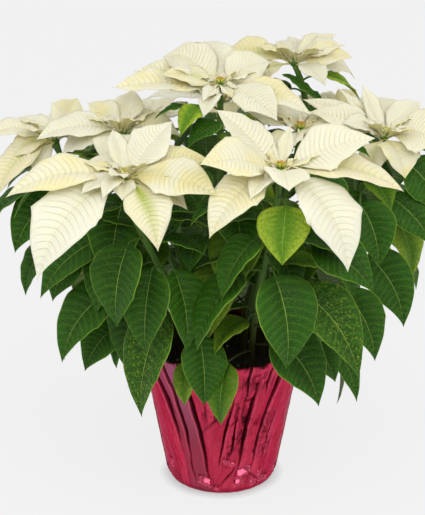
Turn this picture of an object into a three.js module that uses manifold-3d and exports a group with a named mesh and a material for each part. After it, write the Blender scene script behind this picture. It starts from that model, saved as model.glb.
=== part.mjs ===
// A cream poinsettia in bloom, standing in a plastic grow pot wrapped in pleated red foil.
// Millimetres, +Z up, origin at the middle of the foil's flat underside.
import * as THREE from "three";
import { mergeVertices } from "three/addons/utils/BufferGeometryUtils.js";
import Module from "manifold-3d";

const wasm = await Module();
wasm.setup();

const DEGREE = Math.PI / 180;
const TURN = 2 * Math.PI;
const UP = new THREE.Vector3(0, 0, 1);
const GOLDEN_ANGLE = 137.5 * DEGREE;

// ---------------------------------------------------------------- driving dimensions

const GAP = 0.3; // kept between pieces that rest against each other
const CLEARANCE = 0.45; // kept round every leaf and bract that passes another piece

const POT = {
  baseRadius: 49,
  rimRadius: 77,
  height: 150,
  wall: 1.4,
  lip: 3, // how far the rolled rim stands out
  lipDepth: 7,
  sides: 20,
};

const FOIL = {
  height: 160,
  baseRadius: 59,
  rimRadius: 88.5,
  thickness: 1,
  pleats: 20,
  pleatDepth: 3, // over the upper part; below it the pleats run out to nothing at the base
  deepFrom: 0.67, // share of the height from which they are at their full depth
  cornerRadius: 4, // round the foot
  drift: 0.38, // radians by which the foot of a pleat leans towards the front or the back
  levels: [0.03, 0.5, 1], // heights of the rings, as shares of the whole
};

const SOIL = {
  top: 138,
  crown: 2, // how far the middle stands above the edge
  levelShare: 0.6, // of the radius, where the crown begins to fall
  sides: 20,
};

const STEM = {
  radius: 3.8,
  rooted: 26, // depth in the soil
  rising: 0.45, // share of the height over which the stem first goes straight up
  leaning: 0.35, // share of the height over which it turns into the axis of its head
  sides: 5,
  steps: 5,
};

// The short receptacle that carries the bracts; their roots are spread down its side.
const HUB = {
  radius: 5,
  height: 7.5,
  sides: 6,
  rootRadius: 3.6,
  upperRoot: -2.8, // heights of the first and the last root below the hub's top
  lowerRoot: -6.2,
  lean: 900, // a head this far out would lean out by 45 degrees
};

// The cluster of cyathia, the small cups in the middle of a head.
const CYATHIA = {
  cups: 5,
  // from the foot to the rim: height, radius, and how deep the clefts between the cups are
  rings: [
    [0, 3.2, 0],
    [2.6, 4.6, 1.5],
    [5.8, 4.4, 2],
    [4.4, 2, 0.4],
  ],
  middle: 6.4, // height of the middle cup
};

// A blade is a bare stalk for a share of its length; from there its outline widens as t^rise and
// narrows as (1 - t)^fall.
const BRACT = {
  stalk: 0.1,
  rise: 1,
  fall: 1.35,
  fold: 9, // degrees by which each half rises from the midrib
  ripple: 1.6, // height of the waves along an edge
  waves: 1.4,
  thickness: 0.8,
  stalkRadius: 1.2,
  stations: [0.2, 0.45, 0.74], // shares of the length that have corners
  fewStations: [0.3, 0.65], // and those of a narrow blade
};
const LEAF = {
  stalk: 0,
  rise: 0.62,
  fall: 1.1,
  fold: 8,
  ripple: 1.3,
  waves: 1.2,
  thickness: 0.8,
  stalkRadius: 1.2,
  stations: [0.1, 0.36, 0.68],
  fewStations: [0.2, 0.55],
};
const NARROW = 30; // a blade narrower than this has fewer corners
const PETIOLE = { arch: 5, stations: [0, 0.97] };

// ---------------------------------------------------------------- the plant

// Each flower head: its hub, where its stem leaves the soil, the lean of its axis where that isn't
// straight out, its bracts from the inner to the outer, and the leaves of its stem from the top down.
// A bract is the place of its tip from the hub (x, y, z), its width, the arch of its midrib and its twist
// in degrees.
// A leaf is the height on the stem where its petiole starts, the base of its blade (x, y, z), the tip of
// its blade (x, y, z), its width, its arch and its twist.
const HEADS = {
  a: {
    hub: [-94, -110, 374],
    foot: [-26, -30],
    bracts: [
      [-20, 0, 9, 12, 1, 0],
      [23, 25, 21, 20, 1, 0],
      [-1, -38, -14, 23, 5, 0],
      [-47, -20, -9, 25, 6, -30],
      [-27, -36, -11, 21, 8, 0],
      [-14, 45, 32, 24, 4, 0],
      [45, 40, 42, 44, 3, 15],
      [79, 15, 22, 44, 6, 30],
      [92, -35, -9, 48, 10, 30],
      [-41, 30, 12, 32, 6, -30],
      [60, -18, -30, 30, 8, 30],
      [-112, -25, -15, 46, 14, -30],
      [-81, -65, -84, 60, 22, -15],
      [33, -60, -57, 44, 16, 0],
    ],
    leaves: [
      [345, -71, -90, 342, -21, -112, 333, 38, 6, 20],
      [335, -50, -100, 327, 2, -112, 316, 20, 4, 10],
      [300, -91, -120, 308, -103, -138, 227, 57, 10, 0],
      [290, -120, -60, 292, -184, -74, 232, 42, 10, -35],
      [262, -69, -105, 276, -76, -124, 193, 46, 10, 0],
      [250, -48, -100, 275, -36, -116, 197, 45, 10, 0],
      [232, -112, -60, 236, -164, -78, 163, 50, 12, -35],
      [215, -57, -85, 224, -82, -108, 116, 57, 12, 0],
      [185, -23, -92, 199, -19, -106, 128, 42, 10, 0],
      [160, -33, -90, 170, -38, -100, 125, 26, 6, 0],
    ],
  },
  b: {
    hub: [55, -120, 384],
    foot: [30, -32],
    bracts: [
      [5, 15, 14, 10, 1, 0],
      [10, 30, 34, 14, 1, 0],
      [-43, 15, 27, 21, 3, 0],
      [-60, -5, 8, 18, 4, 0],
      [6, -50, -8, 44, 7, 0],
      [-30, -45, -13, 25, 8, 0],
      [-61, 35, 47, 51, 4, -15],
      [90, 10, 26, 48, 7, 30],
      [-82, -30, 15, 46, 8, -30],
      [117, -10, -21, 45, 14, 30],
      [62, -55, -86, 60, 22, 15],
      [-68, -50, -34, 46, 14, -15],
    ],
    leaves: [
      [352, 60, -140, 352, 56, -160, 299, 46, 8, 0],
      [345, 5, -120, 355, -31, -142, 333, 25, 5, 0],
      [322, 33, -125, 316, -1, -150, 261, 48, 8, 0],
      [300, 86, -105, 302, 148, -124, 257, 50, 8, 30],
      [285, 50, -125, 277, 62, -144, 185, 62, 12, 0],
      [262, 15, -110, 274, -34, -130, 203, 58, 10, 0],
      [240, 77, -100, 251, 136, -120, 165, 56, 12, 35],
      [205, 25, -85, 205, -8, -106, 169, 35, 8, 0],
      [190, 50, -88, 198, 98, -102, 125, 54, 10, 40],
      [165, 92, -70, 176, 116, -78, 141, 32, 5, 40],
      [158, 5, -97, 172, -1, -108, 107, 37, 8, 0],
    ],
  },
  c: {
    hub: [-2, 10, 434],
    foot: [-2, 4],
    bracts: [
      [-17, -45, -24, 23, 6, 0],
      [-59, 10, 10, 28, 6, -30],
      [-16, 70, 28, 48, 8, 0],
      [-60, 40, 18, 53, 12, -30],
      [52, 30, 14, 41, 8, 30],
      [57, -40, -29, 42, 9, 30],
      [-88, 30, 10, 39, 5, -30],
      [92, -20, -28, 32, 10, 30],
      [-109, -10, -2, 44, 5, -30],
      [52, 78, -4, 46, 12, 0],
    ],
    leaves: [
      [405, -23, -12, 417, -42, -40, 392, 25, 4, 0],
      [395, -33, -4, 412, -66, -26, 405, 18, 4, 0],
      [380, -2, -20, 400, -35, -42, 380, 30, 5, 0],
      [285, -23, -60, 295, -33, -80, 262, 28, 6, 0],
    ],
  },
  d: {
    hub: [75, 110, 436],
    foot: [18, 28],
    lean: [-0.5, 0.1],
    bracts: [
      [-12, 40, 16, 23, 4, 0],
      [50, 40, 18, 28, 5, 30],
      [-71, -30, -19, 42, 11, -20],
      [-30, 52, 20, 41, 8, 0],
      [57, 20, 11, 28, 6, 30],
      [-83, 20, 10, 34, 10, -30],
      [64, -15, -14, 30, 6, 30],
      [39, -30, -26, 30, 7, 15],
      [30, 75, -8, 44, 12, 0],
      [-40, 88, -16, 46, 14, 0],
      [70, 52, -34, 40, 14, 30],
    ],
    leaves: [
      [412, 65, 88, 424, 102, 68, 399, 18, 3, 0],
      [402, 84, 88, 412, 108, 80, 405, 16, 3, 0],
    ],
  },
  e: {
    hub: [168, 15, 380],
    foot: [42, 4],
    bracts: [
      [-21, 40, 40, 21, 2, 0],
      [-48, 40, 44, 16, 3, 0],
      [-45, -10, 13, 28, 6, -30],
      [40, 35, 29, 34, 5, 30],
      [-80, 0, 22, 34, 6, -30],
      [-84, 22, 40, 25, 4, -30],
      [17, -45, -35, 48, 9, 0],
      [62, -18, -12, 60, 12, 30],
      [26, 78, 22, 46, 12, 0],
      [-18, -34, -58, 32, 10, 0],
      [-24, 82, 8, 44, 12, 0],
      [76, 40, -24, 44, 14, 30],
    ],
    leaves: [
      [350, 190, 0, 352, 224, -14, 298, 46, 8, 45],
      [330, 172, -12, 330, 218, -32, 290, 36, 6, 40],
      [318, 139, -40, 322, 158, -64, 262, 44, 8, 30],
      [290, 181, 20, 288, 200, 14, 216, 36, 8, 40],
      [262, 152, 0, 252, 192, -14, 176, 47, 10, 50],
      [225, 127, -30, 222, 160, -42, 149, 42, 8, 45],
      [175, 112, -36, 172, 142, -46, 104, 26, 6, 40],
    ],
  },
  f: {
    hub: [-102, 0, 390],
    foot: [-22, 2],
    bracts: [
      [9, 40, 30, 32, 3, 0],
      [36, 30, 22, 28, 3, 30],
      [-37, 30, 13, 28, 5, -30],
      [-61, -10, -9, 44, 8, -30],
      [-14, -48, -26, 38, 8, 0],
      [60, 0, -10, 34, 10, 30],
      [-87, -10, -8, 44, 10, -30],
      [12, 78, -6, 41, 12, 0],
      [-44, 66, -18, 41, 12, 0],
    ],
    leaves: [[190, -100, -40, 186, -110, -52, 145, 20, 6, 0]],
  },
  g: {
    hub: [-174, 30, 373],
    foot: [-44, 8],
    bracts: [
      [34, 45, 27, 34, 3, 30],
      [-42, 30, 11, 28, 4, -30],
      [-19, -30, -28, 23, 6, 0],
      [46, 6, -2, 30, 8, 30],
      [-47, -20, -20, 28, 8, -30],
      [-75, 0, -5, 32, 13, -30],
      [-58, -35, -50, 37, 14, -15],
      [8, 74, -10, 41, 12, 0],
      [-48, 62, -22, 41, 12, -30],
    ],
    leaves: [
      [312, -172, 10, 316, -217, -2, 255, 44, 8, -50],
      [262, -186, 30, 255, -211, 24, 197, 28, 6, -40],
      [258, -146, -40, 266, -174, -52, 220, 34, 6, -40],
      [188, -108, -38, 184, -143, -52, 132, 40, 6, -40],
    ],
  },
  h: {
    hub: [80, 10, 387],
    foot: [22, 0],
    bracts: [
      [-19, 40, 16, 28, 4, 0],
      [44, 0, 8, 30, 6, 30],
      [-60, 20, 14, 32, 6, -30],
      [30, 52, -4, 34, 8, 0],
      [-34, -44, -24, 32, 8, 0],
      [38, -50, -28, 34, 9, 0],
      [-30, 76, -20, 39, 12, 0],
    ],
    leaves: [
      [350, 111, -22, 374, 138, -42, 365, 20, 4, 0],
      [232, 110, -60, 238, 124, -74, 212, 24, 4, 0],
    ],
  },
};

// Heads round the back, whose bracts grow in even whorls.
const BACK_HEADS = {
  i: { hub: [-84, 128, 366], foot: [-26, 30], turn: 40 },
  j: { hub: [0, 178, 372], foot: [-2, 46], turn: 165 },
  k: { hub: [126, 134, 372], foot: [38, 36], turn: 280 },
};
const WHORLS = [
  { bracts: 4, length: 46, rise: 15, width: 24, arch: 4 },
  { bracts: 5, length: 88, rise: -14, width: 40, arch: 13 },
];

// Leaves that fill the inside, the sides and the back: how many each stem carries, the middle of their
// spread in degrees, and the lowest height that they start from.
const FILL = [
  { head: "c", count: 7, towards: -90, lowest: 230 },
  { head: "f", count: 6, towards: -150, lowest: 225 },
  { head: "h", count: 5, towards: -50, lowest: 240 },
  { head: "e", count: 5, towards: 45, lowest: 165 },
  { head: "g", count: 5, towards: 140, lowest: 165 },
  { head: "d", count: 6, towards: 60, lowest: 180 },
  { head: "i", count: 9, towards: 128, lowest: 165 },
  { head: "j", count: 9, towards: 92, lowest: 165 },
  { head: "k", count: 9, towards: 45, lowest: 165 },
];
// A measure of such a leaf is its least value, what a stem's lowest leaf has more than its highest, and
// what chance may add.
const FILL_LEAF = {
  highest: 345,
  turn: { least: 9, lower: 0, chance: 53 }, // degrees to one side of the middle
  petiole: { least: 46, lower: 17, chance: 12 },
  baseRise: 12, // the base of the blade above the root of the petiole
  length: { least: 74, lower: 14, chance: 18 },
  droop: { least: 38, lower: 30, chance: 12 }, // degrees below level
  widthShare: 0.56,
  arch: 10,
};

// A blade that would cross another piece is swung and lifted in steps until it clears.
const SWING_STEP = 4; // degrees
const LIFT_STEP = 5; // millimetres
const MOST_STEPS = 4;
const STEP_COST = 8; // cubic millimetres of crossing that a step of bending may save

const SEEDS = { bracts: 11, leaves: 51, fillRows: 91, fillLeaves: 131 };
const HALVINGS = 30; // of the stem's length, to find the point at a height

// ---------------------------------------------------------------- solids

const vector = (x, y, z) => new THREE.Vector3(x, y, z);

// The closed surface of a geometry as a solid; corners that fall together are one.
function solidOf(geometry) {
  const bare = new THREE.BufferGeometry();
  bare.setAttribute("position", geometry.getAttribute("position"));
  bare.setIndex(geometry.index);
  const merged = mergeVertices(bare, 1e-4);
  const corners = merged.index.array;
  const kept = [];
  for (let i = 0; i < corners.length; i += 3) {
    const [a, b, c] = corners.slice(i, i + 3);
    if (a !== b && b !== c && c !== a) kept.push(a, b, c);
  }
  return new wasm.Manifold(
    new wasm.Mesh({
      numProp: 3,
      vertProperties: merged.getAttribute("position").array,
      triVerts: Uint32Array.from(kept),
    }),
  );
}

// The largest body of a solid: a loose scrap left by a join is dropped.
function largestBody(solid) {
  const bodies = solid.decompose();
  return bodies.reduce((a, b) => (a.volume() > b.volume() ? a : b));
}

function join(solids) {
  return largestBody(wasm.Manifold.union(solids));
}

// A named mesh of a solid in its own finish.
function meshOf(name, solid, finish) {
  const { vertProperties, triVerts } = solid.getMesh();
  const geometry = new THREE.BufferGeometry();
  geometry.setAttribute("position", new THREE.BufferAttribute(vertProperties, 3));
  geometry.setIndex(new THREE.BufferAttribute(triVerts, 1));
  geometry.computeVertexNormals();
  const mesh = new THREE.Mesh(geometry, new THREE.MeshStandardMaterial(finish));
  mesh.name = name;
  return mesh;
}

// A round bar of constant radius along a curve.
function bar(curve, radius, sides, steps) {
  const corner = (i) => [
    radius * Math.cos((i * TURN) / sides),
    radius * Math.sin((i * TURN) / sides),
  ];
  const section = Array.from({ length: sides }, (_, i) => new THREE.Vector2(...corner(i)));
  const options = { steps, extrudePath: curve, bevelEnabled: false };
  return solidOf(new THREE.ExtrudeGeometry(new THREE.Shape(section), options));
}

// A profile of [radius, height] points turned about the vertical axis.
function turned(profile, sides) {
  const points = profile.map(([radius, height]) => new THREE.Vector2(radius, height));
  const geometry = new THREE.LatheGeometry(points, sides);
  return solidOf(geometry.rotateX(Math.PI / 2));
}

// Skin over a row of equal rings from a lower middle point to an upper one.
function ringSkin(rings, firstMiddle, lastMiddle) {
  const size = rings[0].length;
  const points = [...rings.flat(), firstMiddle, lastMiddle];
  const [first, last] = [points.length - 2, points.length - 1];
  const index = [];
  for (let j = 0; j < size; j += 1) {
    const next = (j + 1) % size;
    index.push(first, next, j);
    for (let i = 0; i + 1 < rings.length; i += 1) {
      const [a, b] = [i * size + j, i * size + next];
      index.push(a, b, b + size, a, b + size, a + size);
    }
    const top = (rings.length - 1) * size;
    index.push(top + j, top + next, last);
  }
  return new THREE.BufferGeometry().setFromPoints(points).setIndex(index);
}

// ---------------------------------------------------------------- leaves and bracts

// The share of the full width at share t of the length: 1 at its widest, 0 at the stalk and the tip.
function outline(form, t) {
  const s = Math.max(0, (t - form.stalk) / (1 - form.stalk));
  const widest = form.rise / (form.rise + form.fall);
  return (s / widest) ** form.rise * ((1 - s) / (1 - widest)) ** form.fall;
}

// Six corners round a blade: left edge, midrib and right edge of its upper face, then right edge,
// midrib and left edge of its lower face.
function sixCorners(centre, across, normal, half, edgeRise, thickness) {
  const corner = (side, face) =>
    centre
      .clone()
      .addScaledVector(across, side * half)
      .addScaledVector(normal, (side === 0 ? 0 : edgeRise(side)) + (face * thickness) / 2);
  return [
    corner(1, 1),
    corner(0, 1),
    corner(-1, 1),
    corner(-1, -1),
    corner(0, -1),
    corner(1, -1),
  ];
}

// One ring across a blade at share t of its midrib.
function bladeRing(form, blade, t, margin) {
  const tangent = blade.midrib.getTangent(t);
  const normal = tangent.clone().cross(blade.left).normalize();
  const across = normal.clone().cross(tangent);
  const share = outline(form, t);
  const half = t === 1 ? 0 : (blade.width / 2) * share + margin;
  const edgeRise = (side) =>
    half * Math.sin(form.fold * DEGREE) +
    form.ripple * share * Math.sin(TURN * form.waves * t + blade.phase + side);
  const centre = blade.midrib.getPoint(t);
  return sixCorners(centre, across, normal, half, edgeRise, form.thickness + 2 * margin);
}

// The skin over a row of six-cornered rings, split alike on its upper and lower faces.
function loft(rings) {
  const size = 6;
  const index = [];
  for (let i = 0; i + 1 < rings.length; i += 1) {
    for (let j = 0; j < size; j += 1) {
      const a = i * size + j;
      const b = i * size + ((j + 1) % size);
      const [c, d] = [b + size, a + size];
      if (j % 3 === 0) index.push(a, b, d, b, c, d);
      else index.push(a, b, c, a, c, d);
    }
  }
  const last = (rings.length - 1) * size;
  const halves = [0, 1, 4, 0, 4, 5, 1, 2, 3, 1, 3, 4];
  index.push(...halves.toReversed(), ...halves.map((corner) => corner + last));
  const geometry = new THREE.BufferGeometry().setFromPoints(rings.flat());
  return solidOf(geometry.setIndex(index));
}

// The midrib and the sideways direction of a blade from its base to its tip.
function bladeOf([baseX, baseY, baseZ], [tipX, tipY, tipZ], width, arch, twist, phase) {
  const base = vector(baseX, baseY, baseZ);
  const tip = vector(tipX, tipY, tipZ);
  const along = tip.clone().sub(base).normalize();
  const level = vector(-along.y, along.x, 0).normalize();
  const above = along.clone().cross(level);
  const middle = base.clone().add(tip).multiplyScalar(0.5).addScaledVector(above, 2 * arch);
  const left = level.applyAxisAngle(along, twist * DEGREE);
  return { midrib: new THREE.QuadraticBezierCurve3(base, middle, tip), left, width, phase };
}

// Four corners round a stalk, written as six so that they run on into the blade.
function stalkRing(curve, t, left, radius) {
  const centre = curve.getPoint(t);
  const tangent = curve.getTangent(t);
  const normal = tangent.clone().cross(left).normalize();
  const across = normal.clone().cross(tangent);
  const corner = (side, face) =>
    centre
      .clone()
      .addScaledVector(across, side * radius)
      .addScaledVector(normal, face * radius);
  return [corner(1, 0), corner(0, 1), corner(-1, 0), corner(-1, 0), corner(0, -1), corner(1, 0)];
}

// The rings of a blade beyond its stalk; a narrow one has fewer of them.
function bladeRings(form, blade, margin) {
  const stations = blade.width < NARROW ? form.fewStations : form.stations;
  return [...stations, 1].map((t) => bladeRing(form, blade, t, margin));
}

function bractSolid(blade, margin = 0) {
  const root = stalkRing(blade.midrib, 0, blade.left, BRACT.stalkRadius + margin);
  return loft([root, ...bladeRings(BRACT, blade, margin)]);
}

function leafSolid(root, blade, margin = 0) {
  const base = blade.midrib.v0;
  const bend = root.clone().lerp(base, 0.5).addScaledVector(UP, PETIOLE.arch);
  const petiole = new THREE.QuadraticBezierCurve3(root, bend, base);
  const radius = LEAF.stalkRadius + margin;
  const stalk = PETIOLE.stations.map((t) => stalkRing(petiole, t, blade.left, radius));
  return loft([...stalk, ...bladeRings(LEAF, blade, margin)]);
}

// ---------------------------------------------------------------- keeping pieces apart

const standing = []; // every piece placed so far: its owner, its solid and its box

function boxOf(solid) {
  const { min, max } = solid.boundingBox();
  return new THREE.Box3(vector(...min), vector(...max));
}

function stand(owner, solid) {
  standing.push({ owner, solid, box: boxOf(solid) });
}

function isClear(owner, solid) {
  const box = boxOf(solid);
  return standing.every(
    (other) =>
      other.owner === owner ||
      !other.box.intersectsBox(box) ||
      other.solid.intersect(solid).isEmpty(),
  );
}

// Every pair of swing and lift with its number of steps, the smallest first.
function bends() {
  const steps = [0];
  for (let step = 1; step <= MOST_STEPS; step += 1) steps.push(step, -step);
  const pairs = steps.flatMap((swing) => steps.map((lift) => [swing, lift]));
  return pairs
    .map(([swing, lift]) => [
      swing * SWING_STEP * DEGREE,
      lift * LIFT_STEP,
      Math.abs(swing) + Math.abs(lift),
    ])
    .sort((a, b) => a[2] - b[2]);
}
const BENDS = bends();

// A point swung about the vertical through a pivot, and lifted.
function bent(point, pivot, swing, lift) {
  const arm = vector(...point).sub(pivot).applyAxisAngle(UP, swing);
  return arm.add(pivot).addScaledVector(UP, lift).toArray();
}

// The cubic millimetres that a solid shares with its siblings.
function crossing(solid, siblings) {
  const box = boxOf(solid);
  const near = siblings.filter((sibling) => boxOf(sibling).intersectsBox(box));
  return near.reduce((sum, sibling) => sum + sibling.intersect(solid).volume(), 0);
}

// The bend of a piece that clears the other pieces and crosses its siblings least, or null.
// make(swing, lift, margin) builds it; each step of a bend weighs as much as a small crossing.
function bestBend(owner, siblings, make) {
  let best = null;
  let least = Infinity;
  for (const [swing, lift, steps] of BENDS) {
    if (steps * STEP_COST >= least) break;
    if (!isClear(owner, make(swing, lift, CLEARANCE))) continue;
    const solid = make(swing, lift, 0);
    const cost = steps * STEP_COST + crossing(solid, siblings);
    if (cost < least) [best, least] = [solid, cost];
  }
  return best;
}

// ---------------------------------------------------------------- stems, hubs and cyathia

// Fractions from a fixed seed, the same on every run.
function draws(seed) {
  let state = seed;
  return () => {
    state = (state * 1664525 + 1013904223) % 2 ** 32;
    return state / 2 ** 32;
  };
}

// A head's own upright axis. Unless the head gives its lean, it leans out from the middle of the plant.
function axisOf({ hub, lean = [hub[0] / HUB.lean, hub[1] / HUB.lean] }) {
  return vector(...lean, 1).normalize();
}

// Stands an upright shape on a head's axis, its origin at a height above the hub.
function standOn(geometry, head, height) {
  const lean = new THREE.Quaternion().setFromUnitVectors(UP, axisOf(head));
  return solidOf(geometry.translate(0, 0, height).applyQuaternion(lean).translate(...head.hub));
}

function stemCurve(head) {
  const foot = vector(...head.foot, SOIL.top - STEM.rooted);
  const top = vector(...head.hub).addScaledVector(axisOf(head), -HUB.height - GAP);
  const height = top.z - foot.z;
  const rising = foot.clone().addScaledVector(UP, STEM.rising * height);
  const leaning = top.clone().addScaledVector(axisOf(head), -STEM.leaning * height);
  return new THREE.CubicBezierCurve3(foot, rising, leaning, top);
}

// The point of a stem at a given height.
function pointAtHeight(curve, height) {
  let [low, high] = [0, 1];
  for (let i = 0; i < HALVINGS; i += 1) {
    const middle = (low + high) / 2;
    if (curve.getPoint(middle).z < height) low = middle;
    else high = middle;
  }
  return curve.getPoint(low);
}

function hubSolid(head) {
  const geometry = new THREE.CylinderGeometry(HUB.radius, HUB.radius, HUB.height, HUB.sides);
  return standOn(geometry.rotateX(Math.PI / 2), head, -HUB.height / 2);
}

function cyathiaSolid(head) {
  const sides = 2 * CYATHIA.cups;
  const ring = ([height, radius, depth]) =>
    Array.from({ length: sides }, (_, i) => {
      const reach = radius - (i % 2) * depth;
      const angle = (i * TURN) / sides;
      return vector(reach * Math.cos(angle), reach * Math.sin(angle), height);
    });
  const rings = CYATHIA.rings.map(ring);
  const skin = ringSkin(rings, vector(0, 0, 0), vector(0, 0, CYATHIA.middle));
  return standOn(skin, head, GAP);
}

// ---------------------------------------------------------------- growing the plant

function whorlBracts(turn) {
  const rows = [];
  let index = 0;
  for (const whorl of WHORLS) {
    for (let i = 0; i < whorl.bracts; i += 1) {
      const angle = turn * DEGREE + index * GOLDEN_ANGLE;
      const tip = [whorl.length * Math.cos(angle), whorl.length * Math.sin(angle), whorl.rise];
      rows.push([...tip, whorl.width, whorl.arch, 0]);
      index += 1;
    }
  }
  return rows;
}

function growBracts(name, head, seed) {
  const owner = "bracts_" + name;
  const hub = vector(...head.hub);
  const draw = draws(seed);
  const solids = [hubSolid(head)];
  const steepness = ([x, y, z]) => z / Math.hypot(x, y);
  const bracts = head.bracts.toSorted((a, b) => steepness(b) - steepness(a));
  bracts.forEach(([x, y, z, width, arch, twist], i) => {
    const phase = draw() * TURN;
    const level = HUB.upperRoot + ((HUB.lowerRoot - HUB.upperRoot) * i) / bracts.length;
    const tip = vector(x, y, z).add(hub).toArray();
    const make = (swing, lift, margin) => {
      const bentTip = bent(tip, hub, swing, lift);
      const outward = vector(bentTip[0] - hub.x, bentTip[1] - hub.y, 0).normalize();
      const root = hub.clone().addScaledVector(axisOf(head), level);
      root.addScaledVector(outward, HUB.rootRadius);
      return bractSolid(bladeOf(root.toArray(), bentTip, width, arch, twist, phase), margin);
    };
    const bract = bestBend(owner, solids.slice(1), make);
    if (!bract) throw new Error(`bract ${i} of head ${name} finds no clear place`);
    stand(owner, bract);
    solids.push(bract);
  });
  return join(solids);
}

// A row for each leaf that fills the inside, the sides and the back of the plant.
function fillLeaves(curve, { count, towards, lowest }, seed) {
  const draw = draws(seed);
  const rows = [];
  for (let i = 0; i < count; i += 1) {
    const share = i / (count - 1);
    const drawn = ({ least, lower, chance }) => least + lower * share + chance * draw();
    const height = FILL_LEAF.highest + (lowest - FILL_LEAF.highest) * share;
    const side = i % 2 ? 1 : -1;
    const angle = (towards + side * drawn(FILL_LEAF.turn)) * DEGREE;
    const outward = vector(Math.cos(angle), Math.sin(angle), 0);
    const base = pointAtHeight(curve, height).addScaledVector(outward, drawn(FILL_LEAF.petiole));
    base.z += FILL_LEAF.baseRise;
    const length = drawn(FILL_LEAF.length);
    const droop = drawn(FILL_LEAF.droop) * DEGREE;
    const tip = base.clone().addScaledVector(outward, length * Math.cos(droop));
    tip.z -= length * Math.sin(droop);
    const width = length * FILL_LEAF.widthShare;
    rows.push([height, ...base.toArray(), ...tip.toArray(), width, FILL_LEAF.arch, 0]);
  }
  return rows;
}

function growLeaves(name, rows, curve, seed, mustFit) {
  const draw = draws(seed);
  const solids = [];
  rows.forEach(([height, bx, by, bz, tx, ty, tz, width, arch, twist], i) => {
    const phase = draw() * TURN;
    const root = pointAtHeight(curve, height);
    const make = (swing, lift, margin) => {
      const base = bent([bx, by, bz], root, swing, lift / 2);
      const tip = bent([tx, ty, tz], root, swing, lift);
      return leafSolid(root, bladeOf(base, tip, width, arch, twist, phase), margin);
    };
    const leaf = bestBend("stem_" + name, [], make);
    if (!leaf && mustFit) throw new Error(`leaf ${i} of stem ${name} finds no clear place`);
    if (!leaf) return;
    stand("leaf", leaf);
    solids.push(leaf);
  });
  return solids;
}

// ---------------------------------------------------------------- pot, soil and foil

function growPot() {
  const { baseRadius, rimRadius, height, wall, lip, lipDepth, sides } = POT;
  const foot = FOIL.thickness + GAP;
  const top = foot + height;
  return turned(
    [
      [0, foot],
      [baseRadius, foot],
      [rimRadius, top - lipDepth],
      [rimRadius + lip, top - lipDepth],
      [rimRadius + lip, top],
      [rimRadius - wall, top],
      [rimRadius - wall, top - lipDepth],
      [baseRadius - wall, foot + wall],
      [0, foot + wall],
    ],
    sides,
  );
}

function pottingSoil(stems) {
  const { baseRadius, rimRadius, height, wall, lipDepth } = POT;
  const foot = FOIL.thickness + GAP;
  const slope = (rimRadius - baseRadius) / (height - lipDepth);
  const bottom = foot + wall + GAP;
  const radiusAt = (z) => baseRadius - wall + slope * (z - foot - wall) - 2 * GAP;
  const edge = radiusAt(SOIL.top - SOIL.crown);
  const soil = turned(
    [
      [0, bottom],
      [radiusAt(bottom), bottom],
      [edge, SOIL.top - SOIL.crown],
      [edge * SOIL.levelShare, SOIL.top],
      [0, SOIL.top],
    ],
    SOIL.sides,
  );
  return stems.reduce((left, hole) => left.subtract(hole), soil);
}

// The outer radius of the foil at a height and at a share of the way round, counted in half pleats.
function foilRadius(height, halfPleat) {
  const share = height / FOIL.height;
  const straight = FOIL.baseRadius + (FOIL.rimRadius - FOIL.baseRadius) * share;
  const inset = height < FOIL.cornerRadius ? FOIL.cornerRadius - height : 0;
  const valley = halfPleat % 2 ? FOIL.pleatDepth * Math.min(1, share / FOIL.deepFrom) : 0;
  return straight - inset - valley;
}

// The angle of a pleat's edge at a height: the feet of the pleats draw together at the front and back.
function foilAngle(height, halfPleat) {
  const angle = (halfPleat * Math.PI) / FOIL.pleats;
  return angle + FOIL.drift * (1 - height / FOIL.height) * Math.sin(2 * angle);
}

// A ring of points round the foil; inset is how far inside the outer skin it lies.
function foilRing(height, inset) {
  const points = [];
  for (let i = 0; i < 2 * FOIL.pleats; i += 1) {
    const radius = foilRadius(height, i) - inset;
    const angle = foilAngle(height, i);
    points.push(vector(radius * Math.cos(angle), radius * Math.sin(angle), height));
  }
  return points;
}

function foilWrap() {
  const heights = FOIL.levels.map((level) => level * FOIL.height);
  const outer = [0, ...heights].map((height) => foilRing(height, 0));
  const floor = FOIL.thickness;
  const inner = [...heights.toReversed(), floor].map((height) => {
    const ring = foilRing(height, FOIL.thickness);
    return height === floor ? ring.map((point) => point.setZ(floor)) : ring;
  });
  return solidOf(ringSkin([...outer, ...inner], vector(0, 0, 0), vector(0, 0, floor)));
}

// ---------------------------------------------------------------- assembly

const FINISH = {
  bract: { color: 0xf3ecc9, roughness: 0.62, metalness: 0, side: THREE.DoubleSide },
  cyathia: { color: 0xc3b536, roughness: 0.5, metalness: 0 },
  leaf: { color: 0x2d6320, roughness: 0.5, metalness: 0 },
  soil: { color: 0x1c1512, roughness: 0.95, metalness: 0 },
  pot: { color: 0x3a2018, roughness: 0.5, metalness: 0 },
  foil: { color: 0xb32746, roughness: 0.28, metalness: 0.9 },
};

const poinsettia = new THREE.Group();
poinsettia.name = "poinsettia";

const heads = { ...HEADS };
for (const [name, { hub, foot, turn }] of Object.entries(BACK_HEADS)) {
  heads[name] = { hub, foot, bracts: whorlBracts(turn), leaves: [] };
}
const names = Object.keys(heads);
const curves = Object.fromEntries(names.map((name) => [name, stemCurve(heads[name])]));

const foil = foilWrap();
const pot = growPot();
stand("foil_wrap", foil);
stand("grow_pot", pot);
poinsettia.add(meshOf("foil_wrap", foil, FINISH.foil));
poinsettia.add(meshOf("grow_pot", pot, FINISH.pot));

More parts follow.
